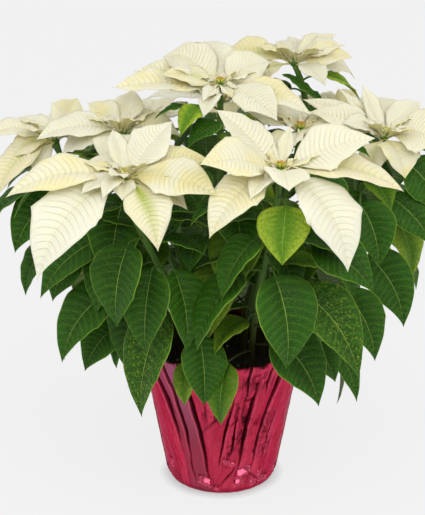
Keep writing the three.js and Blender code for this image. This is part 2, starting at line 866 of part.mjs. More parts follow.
const stems = {};
for (const name of names) {
  const stem = bar(curves[name], STEM.radius, STEM.sides, STEM.steps);
  if (!isClear("", stem)) throw new Error(`stem ${name} crosses another piece`);
  stems[name] = [stem];
  stand("stem_" + name, stem);
}
for (const name of names) {
  const cyathia = cyathiaSolid(heads[name]);
  stand("cyathia_" + name, cyathia);
  stand("bracts_" + name, hubSolid(heads[name]));
  poinsettia.add(meshOf("cyathia_" + name, cyathia, FINISH.cyathia));
}

const holes = names.map((name) => bar(curves[name], STEM.radius + GAP, STEM.sides, STEM.steps));
const soil = pottingSoil(holes);
stand("potting_soil", soil);
poinsettia.add(meshOf("potting_soil", soil, FINISH.soil));

names.forEach((name, i) => {
  const bracts = growBracts(name, heads[name], SEEDS.bracts + i);
  poinsettia.add(meshOf("bracts_" + name, bracts, FINISH.bract));
});
names.forEach((name, i) => {
  const leaves = growLeaves(name, heads[name].leaves, curves[name], SEEDS.leaves + i, true);
  stems[name].push(...leaves);
});
FILL.forEach((fill, i) => {
  const curve = curves[fill.head];
  const rows = fillLeaves(curve, fill, SEEDS.fillRows + i);
  const leaves = growLeaves(fill.head, rows, curve, SEEDS.fillLeaves + i, false);
  stems[fill.head].push(...leaves);
});
for (const name of names) {
  poinsettia.add(meshOf("stem_" + name, join(stems[name]), FINISH.leaf));
}

export default poinsettia;
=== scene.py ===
"""A cream poinsettia in full bloom, in a plastic grow pot wrapped in pleated red foil.

Lengths are millimetres until a finished piece is turned to metres. The front of the plant looks along -Y.
"""
import math

import bmesh
import bpy
import numpy as np
from mathutils import Matrix, Quaternion, Vector, kdtree, noise


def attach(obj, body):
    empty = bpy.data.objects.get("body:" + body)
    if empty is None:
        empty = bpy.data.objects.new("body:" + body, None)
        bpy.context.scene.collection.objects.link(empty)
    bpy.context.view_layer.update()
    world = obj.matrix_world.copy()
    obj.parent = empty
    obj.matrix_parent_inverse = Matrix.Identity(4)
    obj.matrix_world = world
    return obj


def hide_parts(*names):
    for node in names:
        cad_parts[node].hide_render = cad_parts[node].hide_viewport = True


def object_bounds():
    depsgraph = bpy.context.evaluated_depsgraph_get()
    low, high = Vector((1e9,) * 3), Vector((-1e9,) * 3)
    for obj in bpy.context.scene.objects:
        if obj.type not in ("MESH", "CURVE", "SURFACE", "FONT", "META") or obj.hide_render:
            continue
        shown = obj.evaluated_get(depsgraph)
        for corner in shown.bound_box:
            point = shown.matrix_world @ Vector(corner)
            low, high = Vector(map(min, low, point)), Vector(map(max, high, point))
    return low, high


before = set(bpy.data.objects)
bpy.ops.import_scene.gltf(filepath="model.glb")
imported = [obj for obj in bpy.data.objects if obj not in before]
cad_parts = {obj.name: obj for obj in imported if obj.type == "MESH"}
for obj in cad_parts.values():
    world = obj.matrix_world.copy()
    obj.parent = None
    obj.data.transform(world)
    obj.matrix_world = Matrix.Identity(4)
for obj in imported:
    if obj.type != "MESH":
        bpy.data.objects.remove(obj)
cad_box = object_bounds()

MM = 0.001
TURN = 2 * math.pi
UP = Vector((0, 0, 1))
GOLDEN_ANGLE = math.radians(137.5)

# ---------------------------------------------------------------- sizes of the pot and the stems

GAP = 0.3
SOIL_TOP = 138
SOIL_RADIUS = 71.5
CRUMBS = {"count": 700, "chip_every": 4, "perlite_every": 24, "perlite_from": 3}
POT = {"base": 49, "rim": 77, "height": 150, "wall": 1.4, "lip": 3, "lip_depth": 7, "foot": 1.3}
FOIL = {"base": 59, "rim": 88.5, "height": 160, "film": 0.3, "corner": 9, "columns": 420}
STEM = {
    "rooted": 26, "rising": 0.45, "leaning": 0.35, "radius": 3.6, "tip_radius": 3.1,
    "steps": 40, "knob": 0.45, "knob_reach": 3.5,
}
HUB = {"height": 7.5, "root_radius": 3.6, "upper_root": -2.8, "lower_root": -6.2, "lean": 900}

# A blade is a bare stalk for a share of its length; from there its outline widens as t^rise and
# narrows as (1 - t)^fall. stations and few_stations are where the solid model of it has corners.
BRACT = {
    "stalk": 0.09, "rise": 1.08, "fall": 1.3, "fold": 9, "ripple": 2.4, "waves": 1.4,
    "stations": (0.2, 0.45, 0.74), "few_stations": (0.3, 0.65),
    "stalk_width": 1.3, "cup": 0.16, "quilt": 0.7, "crimp": 0.9, "roll": 15, "rib": 1.0, "slant": 0.5,
    "film": 0.45, "tooth": 0.2, "swell": 1.0, "vein_pairs": 19,
}
LEAF = {
    "stalk": 0, "rise": 0.62, "fall": 1.25, "fold": 11, "ripple": 1.6, "waves": 1.2,
    "stations": (0.1, 0.36, 0.68), "few_stations": (0.2, 0.55),
    "stalk_width": 1.1, "cup": 0.12, "quilt": 1.1, "crimp": 0.6, "roll": 8, "rib": 0.9, "slant": 0.42,
    "film": 0.45, "tooth": 0.05, "swell": 1.1, "vein_pairs": 12,
}
NARROW = 30  # a blade narrower than this has fewer corners in the solid model
BROAD = 42
# A petiole: its radii at the stem, past its swollen root and at the blade, and how it runs on as a rib.
PETIOLE = {
    "arch": 5, "swollen": 2.1, "radius": 1.25, "taper": 0.3,
    "rib_radius": 0.95, "rib_taper": 5, "rib_stations": (0.03, 0.08, 0.13), "below": 0.6,
}

# ---------------------------------------------------------------- the plant

# Each head: its hub, where its stem leaves the soil, the lean of its axis where that isn't straight
# out, its bracts and its leaves.
# A bract: its tip from the hub (x, y, z), width, arch, twist in degrees and, where it isn't plain, its look.
# A leaf: the height on the stem where its petiole starts, the base and the tip of its blade, width, arch,
# twist and look.
HEADS = {
    "a": {
        "hub": (-94, -110, 374), "foot": (-26, -30),
        "bracts": [
            (-20, 0, 9, 12, 1, 0),
            (23, 25, 21, 20, 1, 0),
            (-1, -38, -14, 23, 5, 0),
            (-47, -20, -9, 25, 6, -30),
            (-27, -36, -11, 21, 8, 0),
            (-14, 45, 32, 24, 4, 0),
            (45, 40, 42, 44, 3, 15),
            (79, 15, 22, 44, 6, 30, "yellow"),
            (92, -35, -9, 48, 10, 30, "yellow"),
            (-41, 30, 12, 32, 6, -30),
            (60, -18, -30, 30, 8, 30, "olive"),
            (-112, -25, -15, 46, 14, -30, "yellow"),
            (-81, -65, -84, 60, 22, -15, "white"),
            (33, -60, -57, 44, 16, 0, "lime"),
        ],
        "leaves": [
            (345, -71, -90, 342, -21, -112, 333, 38, 6, 20),
            (335, -50, -100, 327, 2, -112, 316, 20, 4, 10),
            (300, -91, -120, 308, -103, -138, 227, 57, 10, 0),
            (290, -120, -60, 292, -184, -74, 232, 42, 10, -35),
            (262, -69, -105, 276, -76, -124, 193, 46, 10, 0),
            (250, -48, -100, 275, -36, -116, 197, 45, 10, 0),
            (232, -112, -60, 236, -164, -78, 163, 50, 12, -35),
            (215, -57, -85, 224, -82, -108, 116, 57, 12, 0, "mottled"),
            (185, -23, -92, 199, -19, -106, 128, 42, 10, 0),
            (160, -33, -90, 170, -38, -100, 125, 26, 6, 0, "olive"),
        ],
    },
    "b": {
        "hub": (55, -120, 384), "foot": (30, -32),
        "bracts": [
            (5, 15, 14, 10, 1, 0),
            (10, 30, 34, 14, 1, 0),
            (-43, 15, 27, 21, 3, 0),
            (-60, -5, 8, 18, 4, 0),
            (6, -50, -8, 44, 7, 0),
            (-30, -45, -13, 25, 8, 0),
            (-61, 35, 47, 51, 4, -15),
            (90, 10, 26, 48, 7, 30),
            (-82, -30, 15, 46, 8, -30, "yellow"),
            (117, -10, -21, 45, 14, 30, "olive"),
            (62, -55, -86, 60, 22, 15, "white"),
            (-68, -50, -34, 46, 14, -15, "yellow"),
        ],
        "leaves": [
            (352, 60, -140, 352, 56, -160, 299, 46, 8, 0, "young"),
            (345, 5, -120, 355, -31, -142, 333, 25, 5, 0),
            (322, 33, -125, 316, -1, -150, 261, 48, 8, 0),
            (300, 86, -105, 302, 148, -124, 257, 50, 8, 30),
            (285, 50, -125, 277, 62, -144, 185, 62, 12, 0),
            (262, 15, -110, 274, -34, -130, 203, 58, 10, 0),
            (240, 77, -100, 251, 136, -120, 165, 56, 12, 35, "mottled"),
            (205, 25, -85, 205, -8, -106, 169, 35, 8, 0, "olive"),
            (190, 50, -88, 198, 98, -102, 125, 54, 10, 40),
            (165, 92, -70, 176, 116, -78, 141, 32, 5, 40),
            (158, 5, -97, 172, -1, -108, 107, 37, 8, 0, "bright"),
        ],
    },
    "c": {
        "hub": (-2, 10, 434), "foot": (-2, 4),
        "bracts": [
            (-17, -45, -24, 23, 6, 0),
            (-59, 10, 10, 28, 6, -30, "olive"),
            (-16, 70, 28, 48, 8, 0),
            (-60, 40, 18, 53, 12, -30),
            (52, 30, 14, 41, 8, 30),
            (57, -40, -29, 42, 9, 30),
            (-88, 30, 10, 39, 5, -30, "yellow"),
            (92, -20, -28, 32, 10, 30, "yellow"),
            (-109, -10, -2, 44, 5, -30, "yellow"),
            (52, 78, -4, 46, 12, 0),
        ],
        "leaves": [
            (405, -23, -12, 417, -42, -40, 392, 25, 4, 0, "young"),
            (395, -33, -4, 412, -66, -26, 405, 18, 4, 0),
            (380, -2, -20, 400, -35, -42, 380, 30, 5, 0),
            (285, -23, -60, 295, -33, -80, 262, 28, 6, 0),
        ],
    },
    "d": {
        "hub": (75, 110, 436), "foot": (18, 28), "lean": (-0.5, 0.1),
        "bracts": [
            (-12, 40, 16, 23, 4, 0),
            (50, 40, 18, 28, 5, 30),
            (-71, -30, -19, 42, 11, -20, "olive"),
            (-30, 52, 20, 41, 8, 0),
            (57, 20, 11, 28, 6, 30),
            (-83, 20, 10, 34, 10, -30, "olive"),
            (64, -15, -14, 30, 6, 30, "yellow"),
            (39, -30, -26, 30, 7, 15),
            (30, 75, -8, 44, 12, 0),
            (-40, 88, -16, 46, 14, 0),
            (70, 52, -34, 40, 14, 30),
        ],
        "leaves": [
            (412, 65, 88, 424, 102, 68, 399, 18, 3, 0),
            (402, 84, 88, 412, 108, 80, 405, 16, 3, 0),
        ],
    },
    "e": {
        "hub": (168, 15, 380), "foot": (42, 4),
        "bracts": [
            (-21, 40, 40, 21, 2, 0),
            (-48, 40, 44, 16, 3, 0),
            (-45, -10, 13, 28, 6, -30),
            (40, 35, 29, 34, 5, 30),
            (-80, 0, 22, 34, 6, -30),
            (-84, 22, 40, 25, 4, -30),
            (17, -45, -35, 48, 9, 0, "yellow"),
            (62, -18, -12, 60, 12, 30),
            (26, 78, 22, 46, 12, 0),
            (-18, -34, -58, 32, 10, 0, "olive"),
            (-24, 82, 8, 44, 12, 0),
            (76, 40, -24, 44, 14, 30),
        ],
        "leaves": [
            (350, 190, 0, 352, 224, -14, 298, 46, 8, 45),
            (330, 172, -12, 330, 218, -32, 290, 36, 6, 40),
            (318, 139, -40, 322, 158, -64, 262, 44, 8, 30),
            (290, 181, 20, 288, 200, 14, 216, 36, 8, 40, "olive"),
            (262, 152, 0, 252, 192, -14, 176, 47, 10, 50),
            (225, 127, -30, 222, 160, -42, 149, 42, 8, 45),
            (175, 112, -36, 172, 142, -46, 104, 26, 6, 40),
        ],
    },
    "f": {
        "hub": (-102, 0, 390), "foot": (-22, 2),
        "bracts": [
            (9, 40, 30, 32, 3, 0),
            (36, 30, 22, 28, 3, 30),
            (-37, 30, 13, 28, 5, -30, "yellow"),
            (-61, -10, -9, 44, 8, -30),
            (-14, -48, -26, 38, 8, 0),
            (60, 0, -10, 34, 10, 30, "yellow"),
            (-87, -10, -8, 44, 10, -30),
            (12, 78, -6, 41, 12, 0),
            (-44, 66, -18, 41, 12, 0, "yellow"),
        ],
        "leaves": [(190, -100, -40, 186, -110, -52, 145, 20, 6, 0)],
    },
    "g": {
        "hub": (-174, 30, 373), "foot": (-44, 8),
        "bracts": [
            (34, 45, 27, 34, 3, 30, "yellow"),
            (-42, 30, 11, 28, 4, -30),
            (-19, -30, -28, 23, 6, 0),
            (46, 6, -2, 30, 8, 30),
            (-47, -20, -20, 28, 8, -30, "olive"),
            (-75, 0, -5, 32, 13, -30),
            (-58, -35, -50, 37, 14, -15, "olive"),
            (8, 74, -10, 41, 12, 0),
            (-48, 62, -22, 41, 12, -30),
        ],
        "leaves": [
            (312, -172, 10, 316, -217, -2, 255, 44, 8, -50),
            (262, -186, 30, 255, -211, 24, 197, 28, 6, -40),
            (258, -146, -40, 266, -174, -52, 220, 34, 6, -40),
            (188, -108, -38, 184, -143, -52, 132, 40, 6, -40),
        ],
    },
    "h": {
        "hub": (80, 10, 387), "foot": (22, 0),
        "bracts": [
            (-19, 40, 16, 28, 4, 0),
            (44, 0, 8, 30, 6, 30),
            (-60, 20, 14, 32, 6, -30),
            (30, 52, -4, 34, 8, 0),
            (-34, -44, -24, 32, 8, 0, "yellow"),
            (38, -50, -28, 34, 9, 0),
            (-30, 76, -20, 39, 12, 0),
        ],
        "leaves": [
            (350, 111, -22, 374, 138, -42, 365, 20, 4, 0),
            (232, 110, -60, 238, 124, -74, 212, 24, 4, 0),
        ],
    },
}

# Heads round the back, whose bracts grow in even whorls.
BACK_HEADS = {
    "i": {"hub": (-84, 128, 366), "foot": (-26, 30), "turn": 40},
    "j": {"hub": (0, 178, 372), "foot": (-2, 46), "turn": 165},
    "k": {"hub": (126, 134, 372), "foot": (38, 36), "turn": 280},
}
WHORLS = [
    {"bracts": 4, "length": 46, "rise": 15, "width": 24, "arch": 4},
    {"bracts": 5, "length": 88, "rise": -14, "width": 40, "arch": 13},
]

# Leaves that fill the inside, the sides and the back: stem, how many, the middle of their spread in
# degrees and the lowest height that they start from.
FILL = [
    ("c", 7, -90, 230), ("f", 6, -150, 225), ("h", 5, -50, 240), ("e", 5, 45, 165), ("g", 5, 140, 165),
    ("d", 6, 60, 180), ("i", 9, 128, 165), ("j", 9, 92, 165), ("k", 9, 45, 165),
]
# A measure of such a leaf: its least value, what a stem's lowest leaf has more, and what chance may add.
FILL_LEAF = {
    "highest": 345, "turn": (9, 0, 53), "petiole": (46, 17, 12), "base_rise": 12,
    "length": (74, 14, 18), "droop": (38, 30, 12), "width_share": 0.56, "arch": 10,
}

# The small young leaves and bracts that crowd every stem and head between the large ones. Leaves go
# round the stem from its top down; on the front stems they keep to the sides and the back.
CROWDING_LEAVES = {
    "first": 24, "apart": 14, "lowest": 200, "petiole": (9, 12), "length": (46, 24), "droop": (12, 34),
    "width_share": 0.55, "arch": 7, "front_stems": "ab",
}
# Leaves deep inside that close the view through the plant, as rows of a head's leaves.
DEEP_LEAVES = {
    "c": [
        (392, -8, 40, 388, -50, 66, 343, 48, 6, 0), (380, -18, 36, 372, -16, 56, 322, 42, 6, 0),
        (345, 4, 44, 338, -14, 68, 284, 44, 6, 0), (290, -16, 38, 282, -20, 66, 212, 46, 6, 0),
        (250, 18, 70, 225, 20, 112, 142, 52, 6, 0), (310, 38, 58, 322, 64, 86, 268, 48, 6, 0),
        (262, 60, 50, 262, 92, 78, 205, 48, 6, 0),
    ],
    "e": [
        (330, 140, 30, 334, 142, 58, 290, 42, 6, 0), (345, 170, 34, 348, 186, 62, 302, 42, 6, 0),
        (310, 146, 44, 318, 164, 74, 264, 44, 6, 0), (250, 106, 36, 228, 138, 68, 172, 46, 6, 0),
        (190, 88, 20, 180, 110, 52, 118, 44, 6, 0),
    ],
}
INNER_BRACTS = [
    {"count": 6, "length": (13, 9), "rise": (8, 8), "width_share": 0.48, "arch": 2, "level": -1.6},
    {"count": 5, "length": (28, 14), "rise": (12, 12), "width_share": 0.46, "arch": 3, "level": -3.0},
]

# Heads whose anthers are open, and whose inner bracts lie low in front of the flower cups.
OPEN_HEADS = "bch"

# In the solid model, a blade that would cross another piece is swung and lifted in steps.
SWING_STEP = math.radians(4)
LIFT_STEP = 5
MOST_STEPS = 4
SEEDS = {
    "bracts": 11, "leaves": 51, "fill_rows": 91, "fill_leaves": 131,
    "crowding": 401, "inner": 451, "looks": 501, "soil": 701, "cups": 801, "foil": 901,
}

# Tone of the blade, how green or young it is, and how mottled or yellow it is.
LOOKS = {
    "plain": (0.5, 0.0, 0.1),
    "yellow": (0.55, 0.05, 0.75),
    "white": (0.7, 0.12, 0.0),
    "lime": (0.55, 1.0, 0.55),
    "olive": (0.1, 0.45, 0.45),
    "young": (0.8, 0.85, 0.7),
    "bright": (0.85, 0.22, 0.1),
    "mottled": (0.4, 0.0, 1.0),
}


# ---------------------------------------------------------------- chance and curves

def draws(seed):
    """A function that gives fractions from a fixed seed, the same on every run."""
    state = [seed]

    def draw():
        state[0] = (state[0] * 1664525 + 1013904223) % 2**32
        return state[0] / 2**32

    return draw


def bezier(points, t):
    """The point of a Bezier curve at share t."""
    points = list(points)
    while len(points) > 1:
        points = [a.lerp(b, t) for a, b in zip(points, points[1:])]
    return points[0]


def axis_of(head):
    """A head's own upright axis. Unless the head gives its lean, it leans out from the middle."""
    lean = head.get("lean", (head["hub"][0] / HUB["lean"], head["hub"][1] / HUB["lean"]))
    return Vector((*lean, 1)).normalized()


def stem_curve(head):
    foot = Vector((*head["foot"], SOIL_TOP - STEM["rooted"]))
    axis = axis_of(head)
    top = Vector(head["hub"]) - axis * (HUB["height"] + GAP)
    height = top.z - foot.z
    return [foot, foot + UP * STEM["rising"] * height, top - axis * STEM["leaning"] * height, top]


def point_at_height(curve, height):
    low, high = 0.0, 1.0
    for _ in range(30):
        middle = (low + high) / 2
        if bezier(curve, middle).z < height:
            low = middle
        else:
            high = middle
    return bezier(curve, low)


# ---------------------------------------------------------------- placing the blades

def bends():
    """Every pair of swing and lift, the fewest steps first."""
    steps = [0] + [sign * step for step in range(1, MOST_STEPS + 1) for sign in (1, -1)]
    pairs = [(swing, lift) for swing in steps for lift in steps]
    pairs.sort(key=lambda pair: abs(pair[0]) + abs(pair[1]))
    return [(swing * SWING_STEP, lift * LIFT_STEP) for swing, lift in pairs]


BENDS = bends()


def bent(point, pivot, swing, lift):
    arm = Vector(point) - pivot
    arm.rotate(Quaternion(UP, swing))
    return arm + pivot + UP * lift


def blade_of(base, tip, width, arch, twist, phase):
    """The midrib and the sideways direction of a blade from its base to its tip."""
    along = (tip - base).normalized()
    level = Vector((-along.y, along.x, 0)).normalized()
    above = along.cross(level)
    middle = (base + tip) / 2 + above * 2 * arch
    left = Quaternion(along, math.radians(twist)) @ level
    return {"midrib": (base, middle, tip), "left": left, "width": width, "phase": phase}


def corners_of(node):
    """The corners of a CAD node in millimetres, as a search tree."""
    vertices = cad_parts[node].data.vertices
    tree = kdtree.KDTree(len(vertices))
    for i, vertex in enumerate(vertices):
        tree.insert(vertex.co / MM, i)
    tree.balance()
    return tree


def settled(form, make, tree):
    """The blade as the solid model has it: of all its bends, the one whose midrib has corners there."""
    half_thickness, reach = 0.4, 0.6
    best, least = None, reach
    for swing, lift in BENDS:
        blade = make(swing, lift)
        if tree.find(blade["midrib"][-1])[2] > half_thickness + reach:
            continue
        stations = form["few_stations"] if blade["width"] < NARROW else form["stations"]
        misses = [abs(tree.find(bezier(blade["midrib"], t))[2] - half_thickness) for t in (*stations, 1)]
        miss = sorted(misses)[len(misses) // 2]
        if miss < least:
            best, least = blade, miss
    return best


def whorl_bracts(turn):
    rows = []
    for whorl in WHORLS:
        for _ in range(whorl["bracts"]):
            angle = math.radians(turn) + len(rows) * GOLDEN_ANGLE
            reach = whorl["length"]
            look = ("plain", "yellow", "plain", "white", "plain")[len(rows) % 5]
            rows.append((reach * math.cos(angle), reach * math.sin(angle), whorl["rise"],
                         whorl["width"], whorl["arch"], 0, look))
    return rows


def bract_blades(name, head, seed):
    hub, axis = Vector(head["hub"]), axis_of(head)
    tree = corners_of("bracts_" + name)
    draw = draws(seed)
    rows = sorted(head["bracts"], key=lambda row: -row[2] / math.hypot(row[0], row[1]))
    blades = []
    for i, (x, y, z, width, arch, twist, *look) in enumerate(rows):
        phase = draw() * TURN
        level = HUB["upper_root"] + (HUB["lower_root"] - HUB["upper_root"]) * i / len(rows)
        tip = hub + Vector((x, y, z))

        def make(swing, lift):
            bent_tip = bent(tip, hub, swing, lift)
            outward = Vector((bent_tip.x - hub.x, bent_tip.y - hub.y, 0)).normalized()
            root = hub + axis * level + outward * HUB["root_radius"]
            return blade_of(root, bent_tip, width, arch, twist, phase)

        blade = settled(BRACT, make, tree) or make(0, 0)
        blade["look"] = look[0] if look else "plain"
        blades.append(blade)
    return blades


def fill_rows(curve, count, towards, lowest, seed):
    """A row for each leaf that fills the inside, the sides and the back of the plant."""
    draw = draws(seed)
    rows = []
    for i in range(count):
        share = i / (count - 1)

        def drawn(measure):
            least, lower, chance = measure
            return least + lower * share + chance * draw()

        height = FILL_LEAF["highest"] + (lowest - FILL_LEAF["highest"]) * share
        side = 1 if i % 2 else -1
        angle = math.radians(towards + side * drawn(FILL_LEAF["turn"]))
        outward = Vector((math.cos(angle), math.sin(angle), 0))
        base = point_at_height(curve, height) + outward * drawn(FILL_LEAF["petiole"])
        base.z += FILL_LEAF["base_rise"]
        length = drawn(FILL_LEAF["length"])
        droop = math.radians(drawn(FILL_LEAF["droop"]))
        tip = base + outward * length * math.cos(droop) - UP * length * math.sin(droop)
        look = ("plain", "plain", "bright", "plain", "olive")[i % 5]
        rows.append((height, *base, *tip, length * FILL_LEAF["width_share"], FILL_LEAF["arch"], 0, look))
    return rows


def leaf_blades(rows, curve, seed, tree):
    draw = draws(seed)
    blades = []
    for height, bx, by, bz, tx, ty, tz, width, arch, twist, *look in rows:
        phase = draw() * TURN
        root = point_at_height(curve, height)

        def make(swing, lift):
            base = bent((bx, by, bz), root, swing, lift / 2)
            tip = bent((tx, ty, tz), root, swing, lift)
            return blade_of(base, tip, width, arch, twist, phase)

        blade = settled(LEAF, make, tree)
        if blade:
            blade["root"] = root
            blade["look"] = look[0] if look else "plain"
            blades.append(blade)
    return blades


def within_node(node, *points):
    """Whether all the points lie in the box of a CAD node."""
    corners = [Vector(corner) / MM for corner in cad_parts[node].bound_box]
    low = [min(corner[axis] for corner in corners) for axis in range(3)]
    high = [max(corner[axis] for corner in corners) for axis in range(3)]
    return all(low[axis] < point[axis] < high[axis] for point in points for axis in range(3))


def crowding_leaves(name, head, curve, seed):
    """The small leaves up a stem, and its deep ones. A small one whose ends leave the box of its CAD node is
    left off."""
    draw = draws(seed)
    blades = []
    highest = head["hub"][2] - CROWDING_LEAVES["first"]
    for i, height in enumerate(range(highest, CROWDING_LEAVES["lowest"], -CROWDING_LEAVES["apart"])):
        angle = i * GOLDEN_ANGLE + 0.5 * draw()
        if name in CROWDING_LEAVES["front_stems"]:
            angle = math.radians(90) + math.remainder(angle, TURN) * 0.7
        outward = Vector((math.cos(angle), math.sin(angle), 0))
        petiole, length, droop = (low + more * draw() for low, more in
                                  (CROWDING_LEAVES[part] for part in ("petiole", "length", "droop")))
        root = point_at_height(curve, height)
        base = root + outward * petiole + UP * 5
        along = outward * math.cos(math.radians(droop)) - UP * math.sin(math.radians(droop))
        tip = base + along * length
        phase = draw() * TURN
        if within_node("stem_" + name, base, tip):
            width = length * CROWDING_LEAVES["width_share"]
            blade = blade_of(base, tip, width, CROWDING_LEAVES["arch"], 0, phase)
            blade.update(root=root, look=("young", "plain", "bright", "plain", "plain")[i % 5])
            blades.append(blade)
    for height, bx, by, bz, tx, ty, tz, width, arch, twist in DEEP_LEAVES.get(name, []):
        blade = blade_of(Vector((bx, by, bz)), Vector((tx, ty, tz)), width, arch, twist, draw() * TURN)
        blade.update(root=point_at_height(curve, height), look="plain")
        blades.append(blade)
    return blades


def inner_bracts(name, head, seed):
    """The smallest bracts, which stand round the flower cups. Those in front of open cups lie low."""
    hub, axis = Vector(head["hub"]), axis_of(head)
    draw = draws(seed)
    blades = []
    for ring in INNER_BRACTS:
        for i in range(ring["count"]):
            angle = TURN * (i + 0.6 * draw()) / ring["count"]
            outward = Vector((math.cos(angle), math.sin(angle), 0))
            length, rise = (low + more * draw() for low, more in (ring["length"], ring["rise"]))
            if name in OPEN_HEADS:
                rise *= min(1, 0.6 + outward.y)
            root = hub + axis * ring["level"] + outward * HUB["root_radius"]
            tip = root + outward * length + UP * rise
            blade = blade_of(root, tip, length * ring["width_share"], ring["arch"], 0, draw() * TURN)
            blade["look"] = ("yellow", "plain")[i % 2]
            blades.append(blade)
    return blades


# ---------------------------------------------------------------- the shape of a blade

def blade_slab(rows, columns):
    """A flat slab that is bent into a blade: x runs across it, y along it, and z is 1 on its upper face and
    -1 on its lower one."""
    bm = bmesh.new()
    uv = bm.loops.layers.uv.new("UVMap")
    bmesh.ops.create_grid(bm, x_segments=columns, y_segments=rows, size=1, calc_uvs=True)
    bmesh.ops.translate(bm, verts=bm.verts, vec=(0, 0, 1))
    bmesh.ops.solidify(bm, geom=bm.faces[:], thickness=2)
    bm.normal_update()
    for face in bm.faces:
        face.smooth = True
        face.material_index = 1 if face.normal.z < -0.5 else 0
        for loop in face.loops:
            loop[uv].uv = ((1 - loop.vert.co.x) / 2, (1 + loop.vert.co.y) / 2)
    mesh = bpy.data.meshes.new("slab")
    bm.to_mesh(mesh)
    bm.free()
    corners = np.array([vertex.co for vertex in mesh.vertices])
    return mesh, corners


SLABS = {
    "broad": blade_slab(46, 16),
    "middle": blade_slab(32, 12),
    "narrow": blade_slab(20, 8),
}


def outline(form, t):
    """The share of the full width at share t of the length: 1 at its widest, 0 at the stalk and the tip."""
    s = np.clip((t - form["stalk"]) / (1 - form["stalk"]), 0, 1)
    widest = form["rise"] / (form["rise"] + form["fall"])
    return (s / widest) ** form["rise"] * ((1 - s) / (1 - widest)) ** form["fall"]


def tooth(t, place):
    """A blunt tooth on an edge: it rises slowly from the base and drops fast towards the tip."""
    away = (t - place) / 0.05
    return np.exp(-np.abs(away) * np.where(away < 0, 0.8, 2.2))


def blade_points(blade, form, corners, draw):
    """The corners of a slab bent into a blade, in millimetres."""
    base, middle, tip = (np.array(point) for point in blade["midrib"])
    across_share, along_share, face = -corners[:, 0], (corners[:, 1] + 1) / 2, corners[:, 2]
    side = np.sign(across_share)
    reach = np.abs(across_share)
    half_width = blade["width"] / 2 * form["swell"]
    length = np.linalg.norm(tip - base)

    # The rows run forward from the midrib along the side veins.
    slant = form["slant"] * half_width * outline(form, along_share) / length
    t = np.clip(along_share + slant * reach**1.5, 0, 1)
    share = outline(form, t)
    column = t[:, None]
    centre = (1 - column) ** 2 * base + 2 * column * (1 - column) * middle + column**2 * tip
    tangent = (1 - column) * (middle - base) + column * (tip - middle)
    tangent /= np.linalg.norm(tangent, axis=1, keepdims=True)

    roll = math.radians(form["roll"]) * (2 * draw() - 1)
    turn = (roll * np.sin(math.pi * t))[:, None]
    left = np.array(blade["left"])
    left = left * np.cos(turn) + np.cross(tangent, left) * np.sin(turn)
    normal = np.cross(tangent, left)
    normal /= np.linalg.norm(normal, axis=1, keepdims=True)
    across = np.cross(normal, tangent)

    teeth = np.zeros_like(t)
    for edge in (-1, 1):
        for place in (0.24 + 0.2 * draw(), 0.46 + 0.18 * draw()):
            teeth += np.where(side == edge, form["tooth"] * draw() * tooth(t, place), 0)
    half = np.hypot(half_width * share * (1 + teeth), form["stalk_width"] * (1 - t) + 0.2)

    phase = blade["phase"]
    fold = half * math.sin(math.radians(form["fold"])) * reach
    cup = half * form["cup"] * (0.3 + draw()) * (reach - reach**2) * 2
    ripple = form["ripple"] * share * np.sin(TURN * form["waves"] * t + phase + side) * reach**2
    crimp = form["crimp"] * share * np.sin(TURN * 4.5 * t + 2.3 * phase + 2 * side) * reach**5
    quilt = form["quilt"] * share * np.sin(math.pi * form["vein_pairs"] * along_share) ** 2
    quilt *= np.sin(math.pi * np.clip(reach, 0, 1)) ** 0.7
    off_midrib = np.exp(-((reach * half / 1.3) ** 2))
    rib = np.where(face < 0, -form["rib"] * (1.1 - t), -0.3) * off_midrib
    lift = fold + cup + ripple + crimp + quilt + rib + face * form["film"] / 2
    points = centre + across * (across_share * half)[:, None] + normal * lift[:, None]
    low, high = (np.array(corner) / MM for corner in cad_box)
    return np.clip(points, low, high)


def add_blade(bm, look_layer, blade, form, draw):
    """Adds a bent slab to a piece, with its look on every corner."""
    width = blade["width"]
    slab, corners = SLABS["broad" if width >= BROAD else "middle" if width >= NARROW else "narrow"]
    points = blade_points(blade, form, corners, draw)
    tone, age, mottle = LOOKS[blade["look"]]
    look = Vector((tone + 0.3 * (draw() - 0.5), age, mottle * (0.7 + 0.6 * draw())))
    first = len(bm.verts)
    bm.from_mesh(slab)
    bm.verts.ensure_lookup_table()
    for vertex, point in zip(bm.verts[first:], points):
        vertex.co = point
        vertex[look_layer] = look


def rods(lines):
    """Round rods as one mesh: each line is a list of points with their radii."""
    curve = bpy.data.curves.new("rods", "CURVE")
    curve.dimensions = "3D"
    curve.bevel_depth = 1
    curve.bevel_resolution = 2
    curve.use_fill_caps = True
    for line in lines:
        spline = curve.splines.new("POLY")
        spline.points.add(len(line) - 1)
        for knot, (point, radius) in zip(spline.points, line):
            knot.co = (*point, 1)
            knot.radius = radius
    holder = bpy.data.objects.new("rods", curve)
    mesh = bpy.data.meshes.new_from_object(holder)
    bpy.data.objects.remove(holder)
    bm = bmesh.new()
    bm.from_mesh(mesh)
    bmesh.ops.remove_doubles(bm, verts=bm.verts, dist=0.001)
    bmesh.ops.recalc_face_normals(bm, faces=bm.faces)
    bm.to_mesh(mesh)
    bm.free()
    return mesh


def add_rods(bm, lines, material_index):
    faces = len(bm.faces)
    bm.from_mesh(rods(lines))
    bm.faces.ensure_lookup_table()
    for face in bm.faces[faces:]:
        face.material_index = material_index
        face.smooth = True


